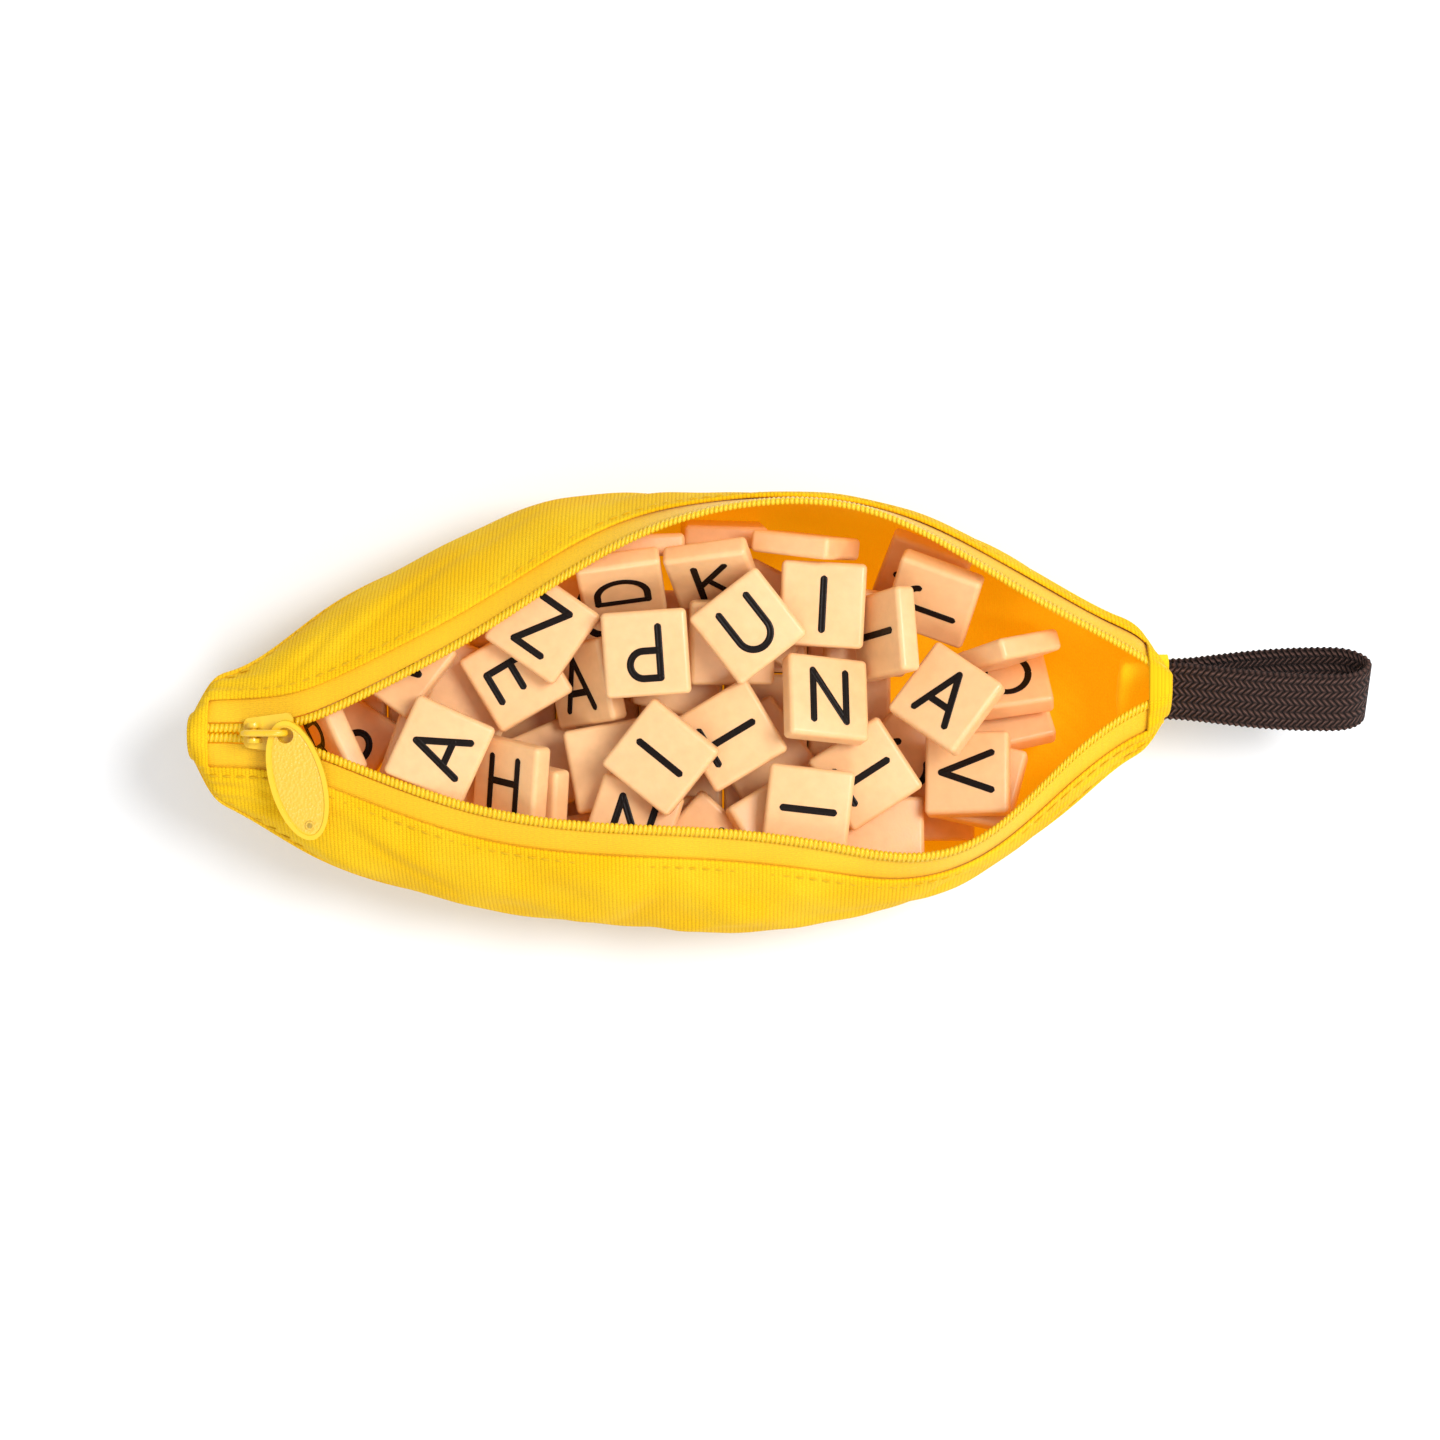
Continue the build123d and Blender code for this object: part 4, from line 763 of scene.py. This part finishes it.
def tile_places(node):
    """The middle and the axes of each tile in a CAD node, its face's axis last and upwards: triangles that share
    corners make one tile, its middle is the mean corner, and its longest triangle's legs lie along its face."""
    mesh = node.data
    points, corners = np.zeros(len(mesh.vertices) * 3), np.zeros(len(mesh.loops), int)
    mesh.vertices.foreach_get("co", points)
    mesh.loops.foreach_get("vertex_index", corners)
    points, back = np.unique(np.round(points.reshape(-1, 3) / MM, 3), axis=0, return_inverse=True)
    triangles = back.ravel()[corners].reshape(-1, 3)
    label = np.arange(len(points))
    for _ in range(40):
        lowest = label[triangles].min(axis=1)
        for k in range(3):
            np.minimum.at(label, triangles[:, k], lowest)
    for one in np.unique(label[triangles]):
        own = triangles[label[triangles[:, 0]] == one]
        legs = points[own[:, [1, 2, 0]]] - points[own]
        size = np.linalg.norm(np.cross(legs[:, 0], legs[:, 1]), axis=1)
        best = legs[size.argmax()]
        best = best[np.argsort(np.linalg.norm(best, axis=1))]
        u = best[0] / np.linalg.norm(best[0])
        n = np.cross(u, best[1])
        n /= np.linalg.norm(n)
        n = n if n[2] > 0 else -n
        yield points[label == one].mean(axis=0), np.array([u, np.cross(n, u), n])


tile_shape, tile_faces = rounded_box((TILE_SIDE, TILE_SIDE, TILE_THICKNESS), TILE_ROUND)
tile_spots = {}
lifted = {"tile_p": "letter_p", "tile_u": "letter_u", "tile_i_middle": "letter_i_middle", "tile_n": "letter_n"}
for name in [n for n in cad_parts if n.startswith("tile")]:
    spots = tile_spots[name] = list(tile_places(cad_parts[name]))
    points = np.concatenate([middle + tile_shape @ axes for middle, axes in spots])
    faces = np.concatenate([tile_faces + i * len(tile_shape) for i in range(len(spots))])
    piece = add_piece(name + "_rounded", points, faces.tolist())
    piece.data.materials.append(tile_look)
    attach(piece, lifted.get(name, "pouch"))
    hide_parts(name)

# ---------------------------------------------------------------- letters
# Each tile carries one capital letter in black paint that fills a shallow mould line and stands a hair proud. The
# letters are plain rounded strokes of one width, between -H and H in height.
H, STROKE, PROUD, SUNK = 5.65, 0.80, 0.15, 0.12
ink_look, tree, shader = new_material("black letter paint", 0.3, Specular_IOR_Level=0.12)
dab = add_node(tree, "ShaderNodeTexNoise", coordinates(tree), None, 900.0, 3.0)
tone = two_tone(tree, dab.outputs["Fac"], (0.004, 0.0025, 0.002), (0.014, 0.008, 0.006))
finish_look(tree, shader, tone, dab.outputs["Fac"], 0.00004)


def arc(cx, cy, rx, ry, begin, end, steps=18):
    """Points round an ellipse: its middle plus its radii times the cosine and sine of evenly spaced angles."""
    angle = np.radians(np.linspace(begin, end, steps))
    return [(cx + rx * math.cos(a), cy + ry * math.sin(a)) for a in angle]


LETTERS = {
    "A": [[(-4.3, -H), (0, H)], [(0, H), (4.3, -H)], [(-2.9, -2.0), (2.9, -2.0)]],
    "C": [arc(0.4, 0, 4.9, H, 48, 312, 30)],
    "D": [[(-3.4, -H), (-3.4, H)], [(-3.4, H), (-0.8, H)] + arc(-0.8, 0, 4.8, H, 88, -90, 26) + [(-3.4, -H)]],
    "E": [[(-3.3, -H), (-3.3, H)], [(-3.3, H), (3.5, H)], [(-3.3, 0.2), (2.9, 0.2)], [(-3.3, -H), (3.5, -H)]],
    "H": [[(-3.9, -H), (-3.9, H)], [(3.9, -H), (3.9, H)], [(-3.9, 0.3), (3.9, 0.3)]],
    "I": [[(0, -H), (0, H)]],
    "J": [[(2.2, H), (2.2, -2.4)] + arc(-0.5, -2.9, 2.7, 2.7, 0, -165)],
    "K": [[(-3.2, -H), (-3.2, H)], [(3.7, H), (-3.1, -1.2)], [(-0.9, 1.0), (3.9, -H)]],
    "N": [[(-3.9, -H), (-3.9, H)], [(-3.9, H), (3.9, -H)], [(3.9, -H), (3.9, H)]],
    "O": [arc(0, 0, 5.0, H, 0, 352, 40)],
    "P": [[(-3.0, -H), (-3.0, H)], [(-3.0, H), (0.6, H)] + arc(0.6, 2.6, 3.0, 3.05, 88, -90) + [(-3.0, -0.45)]],
    "R": [[(-3.2, -H), (-3.2, H)], [(-3.2, H), (0.6, H)] + arc(0.6, 2.6, 3.0, 3.05, 88, -90) + [(-3.2, -0.45)],
          [(0.4, -0.4), (3.7, -H)]],
    "S": [arc(0, 2.7, 3.2, 2.95, 20, 250, 20) + arc(0, -2.75, 3.5, 2.9, 75, -160, 22)],
    "T": [[(-4.2, H), (4.2, H)], [(0, H), (0, -H)]],
    "U": [[(-3.8, H), (-3.8, -1.8)] + arc(0, -1.85, 3.8, 3.8, 180, 360, 22) + [(3.8, H)]],
    "V": [[(-4.3, H), (0, -H)], [(0, -H), (4.3, H)]],
    "Z": [[(-3.6, H), (3.6, H)], [(3.6, H), (-3.6, -H)], [(-3.6, -H), (3.6, -H)]],
}
FACES_UP = {
    "tile_z": ("Z", -35), "tile_e": ("E", -66), "tile_a_left": ("A", 73), "tile_v_left": ("V", 54),
    "tile_h": ("H", -8), "tile_a_middle": ("A", 12.7), "tile_p": ("P", 184), "tile_u": ("U", 39),
    "tile_d": ("D", 98), "tile_k": ("K", 0), "tile_j": ("J", -110), "tile_y": ("I", -115), "tile_i_far": ("I", -3),
    "tile_n": ("N", -3), "tile_l": ("I", 87), "tile_a_right": ("A", -36), "tile_o": ("O", 8),
    "tile_v_right": ("V", -100), "tile_i_middle": ("I", 52), "tile_t_middle": ("T", 116), "tile_m": ("N", -20),
    "tile_x": ("I", -43), "tile_i_near": ("I", 83.5), "tile_t_right": ("T", 123), "tile_g": ("C", 20),
    "tile_c": ("C", 20), "tile_r": ("R", 30), "tile_s": ("S", 60)}


def stroke(path, middle, axes, face):
    """A painted stroke: at each point of its path two low ridges with a hollow between, as wide as the stroke and
    rounded off at both ends as a half circle, on two points sunk into the face."""
    path = np.array(path, float)
    step = np.linalg.norm(np.diff(path, axis=0), axis=1)
    length = np.concatenate([[0], np.cumsum(step)])
    cap = STROKE * np.sin(np.radians([0, 25, 50, 75]))
    at = np.unique(np.concatenate([length, cap - STROKE * 0.98, length[-1] + STROKE * 0.98 - cap]).round(4))
    inside = np.clip(at, 0, length[-1])
    line = np.column_stack([np.interp(inside, length, path[:, 0]), np.interp(inside, length, path[:, 1])])
    forward = np.column_stack([np.interp(inside, (length[1:] + length[:-1]) / 2, np.diff(path[:, k]) / step)
                               for k in (0, 1)])
    forward /= np.linalg.norm(forward, axis=1)[:, None]
    beyond = at - inside
    line = line + beyond[:, None] * forward
    width = np.sqrt(np.maximum(STROKE**2 - beyond**2, (0.06 * STROKE) ** 2))
    across = np.array([-1, -1, -0.8, -0.3, 0, 0.3, 0.8, 1, 1])
    rise = np.array([-SUNK, 0.02, PROUD, 0.55 * PROUD, 0.2 * PROUD, 0.55 * PROUD, PROUD, 0.02, -SUNK])
    aside = np.column_stack([-forward[:, 1], forward[:, 0]])
    flat = line[:, None, :] + (width[:, None] * across)[:, :, None] * aside[:, None, :]
    height = np.broadcast_to(face + rise, flat.shape[:2])
    return middle + flat[..., :1] * axes[0] + flat[..., 1:] * axes[1] + height[..., None] * axes[2]


def letter_on(name):
    """The letter's strokes on the upper face of a tile, turned so that its top points nearest to its heading."""
    letter, heading = FACES_UP[name]
    middle, (u, v, n) = tile_spots[name][0]
    aim = np.array([-math.sin(math.radians(heading)), math.cos(math.radians(heading)), 0])
    up = max((u, v, -u, -v), key=lambda a: a @ aim)
    axes = np.array([np.cross(up, n), up, n])
    return [stroke(path, middle, axes, TILE_THICKNESS / 2) for path in LETTERS[letter]]


def paint_piece(name, grids, body):
    points = np.concatenate([g.reshape(-1, 3) for g in grids])
    first = np.cumsum([0] + [g.shape[0] * g.shape[1] for g in grids])
    faces = [f for g, start in zip(grids, first) for f in tube_faces(g.shape[0], g.shape[1], int(start))]
    piece = add_piece(name, points, faces)
    piece.data.materials.append(ink_look)
    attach(piece, body)


for name, body in lifted.items():
    paint_piece("paint_on_" + name, letter_on(name), body)
paint_piece("paint_on_lying_tiles", [g for n in FACES_UP if n not in lifted for g in letter_on(n)], "pouch")

# ---------------------------------------------------------------- floor, light and camera
# A wide pale floor, an even sky and a soft key lamp from the right; the camera looks straight down.
floor_mesh = bpy.data.meshes.new("floor")
corners = [(-3, -3), (3, -3), (3, 3), (-3, 3)]
floor_mesh.from_pydata([(x, y, -0.00005) for x, y in corners], [], [(0, 1, 2, 3)])
floor = bpy.data.objects.new("floor", floor_mesh)
bpy.context.collection.objects.link(floor)
floor_look, tree, shader = new_material("pale floor", 0.9, Specular_IOR_Level=0.1, Base_Color=(0.91, 0.925, 0.95, 1))
floor_mesh.materials.append(floor_look)
world = bpy.data.worlds.new("even sky")
world.use_nodes = True
world.node_tree.nodes["Background"].inputs["Color"].default_value = (1, 1, 1, 1)
world.node_tree.nodes["Background"].inputs["Strength"].default_value = 0.68
bpy.context.scene.world = world
for name, place, size, power in (("key lamp", (0.6, 0.22, 1.05), 0.55, 10.5),
                                 ("fill lamp", (0.15, -0.9, 0.95), 0.7, 4.5)):
    lamp = bpy.data.lights.new(name, "AREA")
    lamp.shape, lamp.size, lamp.energy = "DISK", size, power
    light = bpy.data.objects.new(name, lamp)
    light.location = place
    aim = -np.array(place) / np.linalg.norm(place)
    light.rotation_euler = (math.acos(-aim[2]), 0, math.atan2(aim[1], aim[0]) - math.pi / 2)
    bpy.context.collection.objects.link(light)
camera_data = bpy.data.cameras.new("camera")
camera_data.sensor_width, camera_data.lens = 36.0, 79.4
camera = bpy.data.objects.new("camera", camera_data)
camera.location = (0.009, -0.001, 0.750)
bpy.context.collection.objects.link(camera)
bpy.context.scene.camera = camera
bpy.context.scene.view_settings.view_transform = "Standard"
